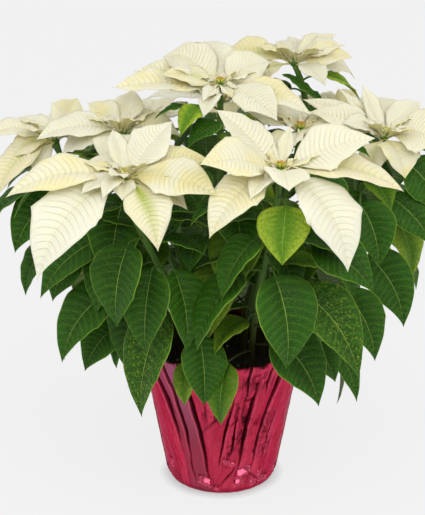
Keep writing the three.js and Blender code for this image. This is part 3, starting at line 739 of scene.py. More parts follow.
def finish_piece(name, bm, materials, node):
    """Turns a bmesh in millimetres into a piece that stands for a CAD node."""
    mesh = bpy.data.meshes.new(name)
    bm.to_mesh(mesh)
    bm.free()
    mesh.transform(Matrix.Scale(MM, 4))
    for material in materials:
        mesh.materials.append(material)
    made = bpy.data.objects.new(name, mesh)
    bpy.context.scene.collection.objects.link(made)
    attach(made, "root")
    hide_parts(node)
    return made


# ---------------------------------------------------------------- materials

def linear(colour):
    """The linear value of an sRGB hex colour."""
    channels = [int(colour[i:i + 2], 16) / 255 for i in (0, 2, 4)]
    return (*[c / 12.92 if c <= 0.04045 else ((c + 0.055) / 1.055) ** 2.4 for c in channels], 1)


# Settings that many of the nodes share.
COLOUR_MIX = {"data_type": "RGBA"}
GENTLE = {"interpolation_type": "SMOOTHSTEP"}
TIMES = {"operation": "MULTIPLY"}
TIMES_PLUS = {"operation": "MULTIPLY_ADD"}


def add(tree, kind, settings=None, inputs=None):
    """Adds a shader node with its settings, and sets or links its inputs. A string is a hex colour."""
    made = tree.nodes.new("ShaderNode" + kind)
    for name, value in (settings or {}).items():
        setattr(made, name, value)
    for name, value in (inputs or {}).items():
        if isinstance(value, str):
            value = linear(value)
        if isinstance(value, bpy.types.ShaderNode):
            value = value.outputs[0]
        if isinstance(value, bpy.types.NodeSocket):
            tree.links.new(value, made.inputs[name])
        else:
            made.inputs[name].default_value = value
    return made


def new_material(name):
    material = bpy.data.materials.new(name)
    material.use_nodes = True
    tree = material.node_tree
    tree.nodes.clear()
    return material, tree


def show(tree, inputs, bump_height=None, bump_depth=0.2):
    """Ends a material in a Principled shader; the bump's depth is in millimetres."""
    if bump_height is not None:
        bump = add(tree, "Bump", None, {"Height": bump_height, "Strength": 1.0, "Distance": bump_depth * MM})
        inputs = {**inputs, "Normal": bump}
    shader = add(tree, "BsdfPrincipled", None, inputs)
    add(tree, "OutputMaterial", None, {"Surface": shader})


def flesh(weight, radius, scale):
    """How light goes through a blade; the scale is in millimetres."""
    return {"Subsurface Weight": weight, "Subsurface Radius": radius, "Subsurface Scale": scale * MM}


def painted(tree, colour, mask, share, paint):
    """A colour painted over where a mask is, at a share of the mask's strength."""
    strength = add(tree, "Math", TIMES, {0: mask, 1: share})
    return add(tree, "Mix", COLOUR_MIX, {0: strength, 6: colour, 7: paint}).outputs[2]


NET_SIZE = 2.6  # millimetres across a mesh of a blade's finest veins


def vein_pattern(tree, form, vein_width):
    """Sockets for the veins of a blade: how near its midrib, its side veins and its fine net a point is,
    and how far it is from the midrib. vein_width is a share of the room between two side veins."""
    uv = add(tree, "UVMap", {"uv_map": "UVMap"})
    split = add(tree, "SeparateXYZ", None, {0: uv})
    place = add(tree, "TexCoord")
    signed = add(tree, "Math", TIMES_PLUS, {0: split.outputs[0], 1: 2.0, 2: -1.0})
    side = add(tree, "Math", {"operation": "ABSOLUTE"}, {0: signed})
    midrib = add(tree, "MapRange", GENTLE, {0: side, 1: 0.004, 2: 0.015, 3: 1.0, 4: 0.0})
    wander = add(tree, "TexNoise", None,
                 {"Vector": place.outputs["Object"], "Scale": 1 / (9 * MM), "Detail": 1.0})
    along = add(tree, "Math", TIMES_PLUS, {0: split.outputs[1], 1: float(form["vein_pairs"]), 2: -0.12})
    wandering = add(tree, "Math", TIMES_PLUS, {0: wander.outputs[0], 1: 0.24, 2: along})
    away = add(tree, "Math", {"operation": "PINGPONG"}, {0: wandering, 1: 0.5})
    thin = add(tree, "MapRange", None, {0: side, 1: 0.0, 2: 1.0, 3: vein_width, 4: vein_width * 0.45})
    faint = add(tree, "MapRange", GENTLE, {0: away, 1: 0.0, 2: thin, 3: 1.0, 4: 0.0})
    fading = add(tree, "MapRange", None, {0: side, 1: 0.55, 2: 0.98, 3: 1.0, 4: 0.25})
    laterals = add(tree, "Math", TIMES, {0: faint, 1: fading})
    cells = add(tree, "TexVoronoi", {"feature": "DISTANCE_TO_EDGE"},
                {"Vector": place.outputs["Object"], "Scale": 1 / (NET_SIZE * MM)})
    net = add(tree, "MapRange", GENTLE, {0: cells.outputs["Distance"], 1: 0.0, 2: 0.12, 3: 1.0, 4: 0.0})
    return {"midrib": midrib, "laterals": laterals, "away": away, "net": net, "side": side,
            "along": split.outputs[1], "place": place.outputs["Object"]}


def blade_look(tree):
    """Sockets for the look of a blade: its tone, its age and its mottle."""
    look = add(tree, "Attribute", {"attribute_name": "look"})
    return add(tree, "SeparateXYZ", None, {0: look.outputs["Vector"]}).outputs


def leaf_upper():
    """Poinsettia leaf, upper face: a thin waxy cuticle over deep green, so it is satin with soft lights; the
    midrib, side veins and a thin edge are pale yellow-green."""
    material, tree = new_material("waxy leaf, upper face")
    veins = vein_pattern(tree, LEAF, 0.04)
    tone, age, mottle = blade_look(tree)
    cloud = add(tree, "TexNoise", None, {"Vector": veins["place"], "Scale": 1 / (28 * MM), "Detail": 3.0})
    toned = add(tree, "Math", {**TIMES_PLUS, "use_clamp": True}, {0: tone, 1: 0.9, 2: cloud.outputs[0]})
    shade = add(tree, "MapRange", None, {0: toned, 1: 0.45, 2: 1.45, 3: 0.0, 4: 1.0})
    green = add(tree, "Mix", COLOUR_MIX, {0: shade, 6: "0e3204", 7: "2a640c"}).outputs[2]
    towards_edge = add(tree, "MapRange", None, {0: veins["side"], 1: 0.2, 2: 1.0, 3: 0.0, 4: 1.0})
    edged = painted(tree, green, towards_edge, 0.4, "3c7812")
    specks = add(tree, "TexNoise", None, {"Vector": veins["place"], "Scale": 1 / (2.4 * MM), "Detail": 4.0})
    between = add(tree, "MapRange", None, {0: veins["away"], 1: 0.05, 2: 0.5, 3: 0.0, 4: 1.1})
    blotch = add(tree, "Math", TIMES, {0: between, 1: specks.outputs[0]})
    blotched = add(tree, "Mix", COLOUR_MIX, {0: blotch, 6: edged, 7: "0f2f0a"}).outputs[2]
    spread = add(tree, "Math", TIMES, {0: age, 1: towards_edge})
    patchy = add(tree, "MapRange", None, {0: specks.outputs[0], 1: 0.35, 2: 0.6, 3: 0.35, 4: 1.2})
    spread = add(tree, "Math", {**TIMES, "use_clamp": True}, {0: spread, 1: patchy})
    aged = add(tree, "Mix", COLOUR_MIX, {0: age, 6: blotched, 7: "5c8a1a"}).outputs[2]
    yellowing = add(tree, "Mix", COLOUR_MIX, {0: spread, 6: aged, 7: "b9c93c"}).outputs[2]
    speckled = add(tree, "MapRange", GENTLE, {0: specks.outputs[0], 1: 0.52, 2: 0.66, 3: 0.0, 4: 0.62})
    blade = painted(tree, yellowing, speckled, mottle, "8fa62c")
    fine = painted(tree, blade, veins["net"], 0.2, "7a9f38")
    veined = painted(tree, fine, veins["laterals"], 0.55, "8fb04c")
    with_rib = painted(tree, veined, veins["midrib"], 0.85, "a3bf5a")
    edge = add(tree, "MapRange", GENTLE, {0: veins["side"], 1: 0.95, 2: 1.0, 3: 0.0, 4: 0.6})
    colour = add(tree, "Mix", COLOUR_MIX, {0: edge, 6: with_rib, 7: "9dbf45"}).outputs[2]
    sunk = add(tree, "Math", TIMES_PLUS, {0: veins["laterals"], 1: -1.0, 2: 1.0})
    height = add(tree, "Math", TIMES_PLUS, {0: veins["net"], 1: -0.3, 2: sunk})
    rough = add(tree, "MapRange", None, {0: cloud.outputs[0], 1: 0.3, 2: 0.7, 3: 0.42, 4: 0.56})
    inside = flesh(0.08, (0.5, 1.0, 0.05), 1.2)
    show(tree, {"Base Color": colour, "Roughness": rough, "Specular IOR Level": 0.14, **inside}, height, 0.35)
    return material


def lower_face(name, form, colours, roughness, inside, depth):
    """The lower face of a blade: it is matt, and its veins stand out."""
    material, tree = new_material(name)
    veins = vein_pattern(tree, form, 0.12)
    tone, age, _ = blade_look(tree)
    dark, light, old, vein_colour, rib_colour = colours
    fresh = add(tree, "Mix", COLOUR_MIX, {0: tone, 6: dark, 7: light}).outputs[2]
    aged = add(tree, "Mix", COLOUR_MIX, {0: age, 6: fresh, 7: old}).outputs[2]
    veined = painted(tree, aged, veins["laterals"], 0.6, vein_colour)
    colour = add(tree, "Mix", COLOUR_MIX, {0: veins["midrib"], 6: veined, 7: rib_colour}).outputs[2]
    raised = add(tree, "Math", TIMES_PLUS, {0: veins["net"], 1: 0.4, 2: veins["laterals"]})
    show(tree, {"Base Color": colour, "Roughness": roughness, **inside}, raised, depth)
    return material


def leaf_under():
    """Poinsettia leaf, lower face: no wax, so it is paler, greyer and matt, and its veins stand out."""
    colours = "486f2c", "648c3c", "93ab4a", "b0c483", "bccf8a"
    return lower_face("leaf, lower face", LEAF, colours, 0.62, flesh(0.12, (0.5, 1.0, 0.15), 1.2), 0.4)


def bract_upper():
    """Poinsettia bract, upper face: a petal-like leaf with no green in it, so it is ivory, soft and lets
    light through; its veins are fine and tan, and a young one is green along its rib."""
    material, tree = new_material("ivory bract, upper face")
    veins = vein_pattern(tree, BRACT, 0.08)
    tone, age, mottle = blade_look(tree)
    cloud = add(tree, "TexNoise", None, {"Vector": veins["place"], "Scale": 1 / (34 * MM), "Detail": 2.0})
    ivory = add(tree, "Mix", COLOUR_MIX, {0: tone, 6: "eee5c2", 7: "f1f1dd"}).outputs[2]
    patch = add(tree, "MapRange", GENTLE, {0: cloud.outputs[0], 1: 0.35, 2: 0.62, 3: 0.15, 4: 1.0})
    warm = painted(tree, ivory, patch, mottle, "efe3a6")
    near_rib = add(tree, "MapRange", GENTLE, {0: veins["side"], 1: 0.0, 2: 0.5, 3: 1.0, 4: 0.0})
    near_base = add(tree, "MapRange", None, {0: veins["along"], 1: 0.2, 2: 0.85, 3: 1.0, 4: 0.2})
    inner = add(tree, "Math", TIMES, {0: near_rib, 1: near_base})
    limed = painted(tree, warm, inner, age, "a8bd35")
    fine = painted(tree, limed, veins["net"], 0.2, "dccfa4")
    veined = painted(tree, fine, veins["laterals"], 0.28, "c8b083")
    rib_share = add(tree, "Math", TIMES, {0: veins["midrib"], 1: 0.45})
    rib_colour = add(tree, "Mix", COLOUR_MIX, {0: age, 6: "d0bd8c", 7: "8aa52a"}).outputs[2]
    with_rib = add(tree, "Mix", COLOUR_MIX, {0: rib_share, 6: veined, 7: rib_colour}).outputs[2]
    at_base = add(tree, "MapRange", GENTLE, {0: veins["along"], 1: 0.0, 2: 0.22, 3: 0.7, 4: 0.0})
    colour = add(tree, "Mix", COLOUR_MIX, {0: at_base, 6: with_rib, 7: "d8cf7c"}).outputs[2]
    sunk = add(tree, "Math", TIMES_PLUS, {0: veins["laterals"], 1: -1.0, 2: 1.0})
    height = add(tree, "Math", TIMES_PLUS, {0: veins["net"], 1: -0.35, 2: sunk})
    show(tree, {"Base Color": colour, "Roughness": 0.58, **flesh(0.3, (1.0, 0.85, 0.4), 1.5)}, height, 0.4)
    return material


def bract_under():
    """Poinsettia bract, lower face: matt, with standing veins. Its greener, darker, more yellow colour is
    partly its own and partly painted shade, as lower faces are mostly seen in shadow.
    """
    colours = "dcd294", "e8e3b4", "c3c477", "b59c62", "c5b56e"
    inside = flesh(0.3, (1.0, 0.85, 0.5), 1.5)
    return lower_face("ivory bract, lower face", BRACT, colours, 0.66, inside, 0.35)


def green_stem():
    """Green stem and leaf stalks: smooth young bark with fine lengthwise grain, light green above and brown
    and corky near the soil."""
    material, tree = new_material("green stem")
    place = add(tree, "TexCoord").outputs["Object"]
    split = add(tree, "SeparateXYZ", None, {0: place})
    grain_place = add(tree, "Mapping", None, {"Vector": place, "Scale": (1.0, 1.0, 0.12)})
    grain = add(tree, "TexNoise", None, {"Vector": grain_place, "Scale": 1 / (1.2 * MM), "Detail": 3.0})
    old = add(tree, "MapRange", GENTLE, {0: split.outputs[2], 1: 0.14, 2: 0.25, 3: 1.0, 4: 0.0})
    green = add(tree, "Mix", COLOUR_MIX, {0: grain.outputs[0], 6: "3c621e", 7: "668a3a"}).outputs[2]
    colour = add(tree, "Mix", COLOUR_MIX, {0: old, 6: green, 7: "463a22"}).outputs[2]
    show(tree, {"Base Color": colour, "Roughness": 0.5, "Specular IOR Level": 0.25, "Subsurface Weight": 0.05,
                "Subsurface Scale": 1.0 * MM}, grain.outputs[0], 0.2)
    return material


def plain_skin(name, colours, roughness, grain, depth, subsurface=0.0):
    """A skin that varies between two colours; grain and depth are the millimetres of its unevenness."""
    material, tree = new_material(name)
    place = add(tree, "TexCoord").outputs["Object"]
    cloud = add(tree, "TexNoise", None, {"Vector": place, "Scale": 1 / (grain * MM), "Detail": 4.0})
    shade = add(tree, "MapRange", GENTLE, {0: cloud.outputs[0], 1: 0.35, 2: 0.65, 3: 0.0, 4: 1.0})
    colour = add(tree, "Mix", COLOUR_MIX, {0: shade, 6: colours[0], 7: colours[1]}).outputs[2]
    show(tree, {"Base Color": colour, "Roughness": roughness, "Subsurface Weight": subsurface,
                "Subsurface Scale": 0.8 * MM}, cloud.outputs[0], depth)
    return material


def red_foil():
    """Metallised polypropylene film, printed red: a thin mirror under a tinted coat, crinkled by hand, so it
    breaks what it mirrors into long lights. Its nearly black folds, dark crumple lines and darker crushed
    facets are painted shade, its dull and mauve panels and dark side edges a painted reflection, and its
    pale dent sides and fold lips a painted highlight."""
    material, tree = new_material("red metallised film")
    run = add(tree, "Attribute", {"attribute_name": "run"}).outputs["Vector"]
    painted_crease_shade, painted_mauve_reflection, crushed, pale = (add(tree, "Attribute", {"attribute_name": name}).outputs["Fac"]
                                    for name in ("painted_crease_shade", "painted_mauve_reflection", "crushed", "stretched_and_painted_highlight"))
    wobble = add(tree, "TexNoise", None, {"Vector": run, "Scale": 1 / (11 * MM), "Detail": 2.0})
    shifted = add(tree, "VectorMath", {"operation": "SCALE"}, {0: wobble.outputs["Color"], "Scale": 4 * MM})
    wavy = add(tree, "VectorMath", {"operation": "ADD"}, {0: run, 1: shifted})
    # The textures below lie in a space stretched up the pot.
    stretched_and_painted_highlight = add(tree, "Mapping", None, {"Vector": wavy, "Scale": (1.0, 1.0, 0.3)})

    # Each facet of the crumpled film has a tilt of its own.
    facets = add(tree, "TexVoronoi", {"feature": "F1"}, {"Vector": stretched_and_painted_highlight, "Scale": 1 / (4.2 * MM)})
    minus = {"operation": "SUBTRACT"}
    from_middle = add(tree, "VectorMath", minus, {0: stretched_and_painted_highlight, 1: facets.outputs["Position"]})
    tilt = add(tree, "VectorMath", minus, {0: facets.outputs["Color"], 1: (0.5, 0.5, 0.5)})
    tilted = add(tree, "VectorMath", {"operation": "DOT_PRODUCT"}, {0: from_middle, 1: tilt}).outputs["Value"]
    slope = add(tree, "MapRange", None, {0: crushed, 1: 0.1, 2: 1.0, 3: 0.12, 4: 1.5})
    height = add(tree, "Math", TIMES, {0: tilted, 1: slope})
    fine = add(tree, "TexNoise", None, {"Vector": stretched_and_painted_highlight, "Scale": 1 / (2.0 * MM), "Detail": 3.0})
    rumpled = add(tree, "Math", TIMES_PLUS, {0: fine.outputs[0], 1: 0.22 * MM, 2: height})

    # Along the facets run broken lines of painted shade.
    swirl = add(tree, "TexNoise", None, {"Vector": stretched_and_painted_highlight, "Scale": 1 / (5.0 * MM), "Detail": 2.0})
    off_line = add(tree, "Math", {"operation": "SUBTRACT"}, {0: swirl.outputs[0], 1: 0.5})
    off_line = add(tree, "Math", {"operation": "ABSOLUTE"}, {0: off_line})
    line = add(tree, "MapRange", GENTLE, {0: off_line, 1: 0.006, 2: 0.05, 3: 1.0, 4: 0.0})
    broken = add(tree, "MapRange", GENTLE, {0: wobble.outputs[0], 1: 0.42, 2: 0.56, 3: 0.0, 4: 1.0})
    shown = add(tree, "MapRange", None, {0: crushed, 1: 0.15, 2: 0.8, 3: 0.0, 4: 0.8})
    lined = add(tree, "Math", TIMES, {0: line, 1: broken})
    painted_line_shade = add(tree, "Math", TIMES, {0: lined, 1: shown})
    # Painted shade: in the mouths of the folds and along these lines the film is a near-black red that
    # mirrors nothing.
    dark = add(tree, "Math", {"operation": "MAXIMUM"}, {0: painted_crease_shade, 1: painted_line_shade})

    cloud = add(tree, "TexNoise", None, {"Vector": stretched_and_painted_highlight, "Scale": 1 / (18 * MM), "Detail": 3.0})
    patch = add(tree, "MapRange", None, {0: cloud.outputs[0], 1: 0.3, 2: 0.7, 3: 0.0, 4: 1.0})
    tint = add(tree, "Mix", COLOUR_MIX, {0: patch, 6: "b82444", 7: "d8405f"}).outputs[2]
    grain = add(tree, "MapRange", None, {0: fine.outputs[0], 1: 0.35, 2: 0.65, 3: 0.0, 4: 0.3})
    tint = add(tree, "Mix", COLOUR_MIX, {0: grain, 6: tint, 7: "901c34"}).outputs[2]
    # Painted shade: where the film is crushed, some facets are painted a darker red.
    facet_shade = add(tree, "SeparateColor", None, {0: facets.outputs["Color"]}).outputs[2]
    painted_facet_shade = add(tree, "MapRange", None, {0: facet_shade, 1: 0.45, 2: 1.0, 3: 0.0, 4: 1.2})
    painted_shade = add(tree, "Math", {**TIMES, "use_clamp": True}, {0: painted_facet_shade, 1: crushed})
    tint = add(tree, "Mix", COLOUR_MIX, {0: painted_shade, 6: tint, 7: "6c1024"}).outputs[2]
    # Painted reflection: some panels are painted a dull red and a mauve, standing for what they mirror.
    dull_reflection_share = add(tree, "MapRange", None, {0: painted_mauve_reflection, 1: 0.0, 2: 0.5, 3: 0.0, 4: 1.0})
    mauve_reflection_share = add(tree, "MapRange", None, {0: painted_mauve_reflection, 1: 0.5, 2: 1.0, 3: 0.0, 4: 1.0})
    with_dull_reflection = add(tree, "Mix", COLOUR_MIX, {0: dull_reflection_share, 6: tint, 7: "96364a"}).outputs[2]
    with_mauve_reflection = add(tree, "Mix", COLOUR_MIX, {0: mauve_reflection_share, 6: with_dull_reflection, 7: "9a536e"}).outputs[2]
    # Painted highlight: the up-facing sides of dents and the lips beside folds get a paler pink, and are also
    # smoother.
    with_painted_highlight = add(tree, "Mix", COLOUR_MIX, {0: pale, 6: with_mauve_reflection, 7: "d4506c"}).outputs[2]
    colour = add(tree, "Mix", COLOUR_MIX, {0: dark, 6: with_painted_highlight, 7: "200509"}).outputs[2]
    mirror = add(tree, "MapRange", None, {0: dark, 1: 0.0, 2: 1.0, 3: 1.0, 4: 0.0})
    coat = add(tree, "MapRange", None, {0: dark, 1: 0.0, 2: 1.0, 3: 0.14, 4: 0.0})
    grainy = add(tree, "MapRange", None, {0: fine.outputs[0], 1: 0.3, 2: 0.7, 3: 0.24, 4: 0.4})
    taut = add(tree, "MapRange", None, {0: pale, 1: 0.0, 2: 1.0, 3: 1.0, 4: 0.4})
    smooth = add(tree, "Math", TIMES, {0: grainy, 1: taut})
    rough = add(tree, "Math", {"operation": "MAXIMUM"}, {0: smooth, 1: dark})
    film = {"Base Color": colour, "Metallic": mirror, "Roughness": rough, "Specular IOR Level": 0.0,
            "Specular Tint": "e896ac", "Coat Weight": coat, "Coat Roughness": 0.12}
    show(tree, film, rumpled, 1 / MM)  # the height is in metres already
    return material


def pale_floor():
    """Matt studio paper under the pot. It gives a little light of its own, as lit paper all round would, and
    glows less right beside the pot: a painted contact shadow.
    """
    material, tree = new_material("pale studio paper")
    nearby = add(tree, "AmbientOcclusion", {"samples": 6}, {"Distance": 0.012})
    glow_with_painted_shadow = add(tree, "MapRange", None, {0: nearby.outputs["AO"], 1: 0.3, 2: 1.0, 3: 0.5, 4: 0.795})
    show(tree, {"Base Color": "5c5c5c", "Roughness": 0.9, "Specular IOR Level": 0.0,
                "Emission Color": (1, 1, 1, 1), "Emission Strength": glow_with_painted_shadow})
    return material


LEAF_MATERIALS = [leaf_upper(), leaf_under(), green_stem()]
BRACT_MATERIALS = [bract_upper(), bract_under(), LEAF_MATERIALS[2]]


# ---------------------------------------------------------------- pieces of the plant

def stem_lines(head, curve, blades):
    """The stem with a swelling at each leaf, and a petiole for each leaf that runs on under its midrib."""
    heights = [blade["root"].z for blade in blades]
    stem = []
    steps = STEM["steps"]
    for i in range(steps + 1):
        point = bezier(curve, i / steps)
        knob = sum(math.exp(-((point.z - height) / STEM["knob_reach"]) ** 2) for height in heights)
        radius = STEM["radius"] + (STEM["tip_radius"] - STEM["radius"]) * i / steps
        stem.append((point, radius + STEM["knob"] * min(1, knob)))
    lines = [stem]
    for blade in blades:
        root, (base, middle, tip) = blade["root"], blade["midrib"]
        arch = (root + base) / 2 + UP * PETIOLE["arch"]
        radii = [PETIOLE["radius"] - PETIOLE["taper"] * i / 8 for i in range(9)]
        line = [(bezier((root, arch, base), i / 8), radius) for i, radius in enumerate(radii)]
        line[0] = (line[0][0], PETIOLE["swollen"])
        under = (base - middle).cross(blade["left"]).normalized() * PETIOLE["below"]
        for t in PETIOLE["rib_stations"]:
            radius = PETIOLE["rib_radius"] - PETIOLE["rib_taper"] * t
            line.append((bezier((base, middle, tip), t) + under, radius))
        lines.append(line)
    return lines


def foliage(name, head, fill, index):
    """A leafy stem: the stem, its petioles and its leaves."""
    curve = stem_curve(head)
    tree = corners_of("stem_" + name)
    blades = leaf_blades(head["leaves"], curve, SEEDS["leaves"] + index, tree)
    for order, (stem, count, towards, lowest) in enumerate(fill):
        if stem == name:
            rows = fill_rows(curve, count, towards, lowest, SEEDS["fill_rows"] + order)
            blades += leaf_blades(rows, curve, SEEDS["fill_leaves"] + order, tree)
    blades += crowding_leaves(name, head, curve, SEEDS["crowding"] + index)
    bm = bmesh.new()
    bm.loops.layers.uv.new("UVMap")
    look_layer = bm.verts.layers.float_vector.new("look")
    draw = draws(SEEDS["looks"] + index)
    for blade in blades:
        add_blade(bm, look_layer, blade, LEAF, draw)
    add_rods(bm, stem_lines(head, curve, blades), 2)
    return finish_piece("foliage_" + name, bm, LEAF_MATERIALS, "stem_" + name)


def turned(profile, sides):
    """A profile of (radius, height) points turned about the vertical axis, as a closed bmesh."""
    bm = bmesh.new()
    corners = [bm.verts.new((radius, 0, height)) for radius, height in profile]
    edges = [bm.edges.new(pair) for pair in zip(corners, corners[1:])]
    bmesh.ops.spin(bm, geom=corners + edges, cent=(0, 0, 0), axis=(0, 0, 1), angle=TURN, steps=sides,
                   use_merge=True)
    bmesh.ops.remove_doubles(bm, verts=bm.verts, dist=0.001)
    bmesh.ops.recalc_face_normals(bm, faces=bm.faces)
    for face in bm.faces:
        face.smooth = True
    return bm


def part_mesh(bm):
    """The bmesh as a mesh that other pieces are put together from."""
    mesh = bpy.data.meshes.new("part")
    bm.to_mesh(mesh)
    bm.free()
    return mesh


def add_part(bm, mesh, place, material_index):
    """Adds a copy of a mesh at a place, and gives its corners."""
    first_vert, first_face = len(bm.verts), len(bm.faces)
    bm.from_mesh(mesh)
    bm.verts.ensure_lookup_table()
    bm.faces.ensure_lookup_table()
    corners = bm.verts[first_vert:]
    bmesh.ops.transform(bm, matrix=place, verts=corners)
    for face in bm.faces[first_face:]:
        face.material_index = material_index
    return corners


HUB_PROFILE = [(0, -7.5), (3.2, -7.4), (4.1, -5.5), (4.6, -3), (4.2, -1), (2.6, -0.1), (0, 0)]
HUB_MESH = part_mesh(turned(HUB_PROFILE, 16))


def standing(head, height=0.0):
    """Where a head's upright parts stand: on its leaning axis, at a height above its hub."""
    lean = UP.rotation_difference(axis_of(head)).to_matrix().to_4x4()
    return Matrix.Translation(head["hub"]) @ lean @ Matrix.Translation((0, 0, height))


def bracts(name, head, index):
    """A head of bracts on its hub."""
    bm = bmesh.new()
    bm.loops.layers.uv.new("UVMap")
    look_layer = bm.verts.layers.float_vector.new("look")
    draw = draws(SEEDS["looks"] + 50 + index)
    blades = bract_blades(name, head, SEEDS["bracts"] + index)
    for blade in blades + inner_bracts(name, head, SEEDS["inner"] + index):
        add_blade(bm, look_layer, blade, BRACT, draw)
    add_part(bm, HUB_MESH, standing(head), 2)
    return finish_piece("cream_bracts_" + name, bm, BRACT_MATERIALS, "bracts_" + name)


CUP_PROFILE = [
    (0, 0), (0.9, 0.3), (1.6, 1.5), (1.75, 3.0), (1.5, 4.2), (1.15, 4.7), (0.8, 4.5), (0, 4.2),
]
CUP_MESH = part_mesh(turned(CUP_PROFILE, 12))


def bead(size, detail=1):
    bm = bmesh.new()
    bmesh.ops.create_icosphere(bm, subdivisions=detail, radius=size)
    for face in bm.faces:
        face.smooth = True
    return part_mesh(bm)


GLAND_MESH = bead(1.0, 2)
ANTHER_MESH = bead(0.5)
CUP_SKIN = plain_skin("green flower cup", ("8ea83a", "bcc65a"), 0.45, 2.0, 0.1, 0.1)
GLAND_SKIN = plain_skin("nectar gland", ("d8b02a", "ecd050"), 0.25, 1.5, 0.05, 0.1)
OPEN_ANTHERS = plain_skin("anthers and pollen", ("d9781e", "e8a832"), 0.7, 0.6, 0.1)
SHUT_ANTHERS = plain_skin("anthers in bud", ("b9b23a", "dccb5c"), 0.6, 0.6, 0.1)


def cyathia(name, head, index):
    """The cluster of small flower cups in the middle of a head: each has a yellow gland on its outer side and
    a tuft of anthers in its mouth."""
    draw = draws(SEEDS["cups"] + index)
    bm = bmesh.new()
    foot = standing(head, GAP)
    places = [(0.0, 0.0, 1.5)] + [(TURN * (i + 0.3 * draw()) / 6, 2.75, 0.3 + 0.5 * draw()) for i in range(6)]
    for angle, reach, height in places:
        tilt = Matrix.Rotation(angle, 4, "Z") @ Matrix.Translation((reach, 0, height))
        tilt = foot @ tilt @ Matrix.Rotation(0.14 * reach / 2.75, 4, "Y")
        size = Matrix.Diagonal((0.92, 0.92, 0.85 + 0.15 * draw(), 1))
        add_part(bm, CUP_MESH, tilt @ size, 0)
        gland = Matrix.Translation((1.45, 0, 3.4)) @ Matrix.Diagonal((0.55, 1.1, 0.75, 1))
        add_part(bm, GLAND_MESH, tilt @ gland, 1)
        for i in range(5):
            turn = TURN * (i + draw()) / 5
            anther = Matrix.Translation((0.75 * math.cos(turn), 0.75 * math.sin(turn), 4.5 + 0.5 * draw()))
            add_part(bm, ANTHER_MESH, tilt @ anther, 2)
    anthers = OPEN_ANTHERS if name in OPEN_HEADS else SHUT_ANTHERS
    skins = [CUP_SKIN, GLAND_SKIN, anthers]
    return finish_piece("flower_cups_" + name, bm, skins, "cyathia_" + name)


# ---------------------------------------------------------------- pot and soil

def grow_pot():
    """A moulded pot with a rolled rim."""
    foot, top = POT["foot"], POT["foot"] + POT["height"]
    wall, lip = POT["wall"], POT["rim"] + POT["lip"]
    rim = top - POT["lip_depth"]
    bm = turned([
        (0, foot), (POT["base"] - 1.5, foot), (POT["base"], foot + 1.5), (POT["rim"], rim), (lip - 0.8, rim),
        (lip, rim + 0.8), (lip, top - 1.2), (lip - 1.2, top), (POT["rim"] - wall + 1.2, top),
        (POT["rim"] - wall, top - 1.2), (POT["rim"] - wall, rim), (POT["base"] - wall, foot + wall),
        (0, foot + wall),
    ], 96)
    crisp = [edge for edge in bm.edges if edge.calc_face_angle(0) > math.radians(30)]
    bmesh.ops.bevel(bm, geom=crisp, offset=0.35, offset_type="OFFSET", segments=2, profile=0.5,
                    affect="EDGES", material=-1)
    material = plain_skin("moulded polypropylene", ("2b1a14", "3a241b"), 0.42, 14.0, 0.06)
    return finish_piece("plastic_pot", bm, [material], "grow_pot")


def peat_soil():
    """Peat with bark chips and a little perlite: a lumpy disc that fills the pot, with crumbs on top."""
    draw = draws(SEEDS["soil"])
    top, rings = SOIL_TOP - 1.0, 22
    slope = (SOIL_RADIUS - 48) / 134
    profile = [(0, 3), (47, 3), (SOIL_RADIUS - slope * 1.5, top - 3)]
    profile += [(SOIL_RADIUS * (1 - i / rings), top) for i in range(rings + 1)]
    bed = turned(profile, 90)
    for vertex in bed.verts:
        if vertex.co.z > top - 0.5:
            lump = noise.fractal(vertex.co / 9, 0.8, 2.0, 4)
            vertex.co.z += 1.1 * lump - 2 * max(0, vertex.co.xy.length / SOIL_RADIUS - 0.8)
    bm = bmesh.new()
    bm.from_mesh(part_mesh(bed))
    crumbs = bead(1.0)
    for i in range(CRUMBS["count"]):
        reach, turn = SOIL_RADIUS * 0.97 * math.sqrt(draw()), TURN * draw()
        chip = i % CRUMBS["chip_every"] == 0
        perlite = i % CRUMBS["perlite_every"] == CRUMBS["perlite_from"]
        if chip:
            size = (1.5 + 3 * draw(), 0.9 + 1.6 * draw(), 0.5 + 0.5 * draw())
        else:
            size = [0.7 + 1.1 * draw()] * 3
        place = Matrix.Translation((reach * math.cos(turn), reach * math.sin(turn), top - 0.2))
        place = place @ Matrix.Rotation(TURN * draw(), 4, "Z") @ Matrix.Rotation(0.7 * (draw() - 0.5), 4, "X")
        material_index = 2 if perlite else 1 if chip else 0
        corners = add_part(bm, crumbs, place @ Matrix.Diagonal((*size, 1)), material_index)
        for corner in corners:
            corner.co += Vector((draw() - 0.5, draw() - 0.5, 0.4 * (draw() - 0.5))) * 0.6
    materials = [
        plain_skin("damp peat", ("120c09", "2a1c14"), 0.9, 1.6, 0.6),
        plain_skin("bark chips", ("2c1b11", "4f3522"), 0.8, 1.2, 0.3),
        plain_skin("perlite", ("c9c5ba", "e2dfd6"), 0.8, 0.8, 0.2),
    ]
    return finish_piece("peat_soil", bm, materials, "potting_soil")


# ---------------------------------------------------------------- foil

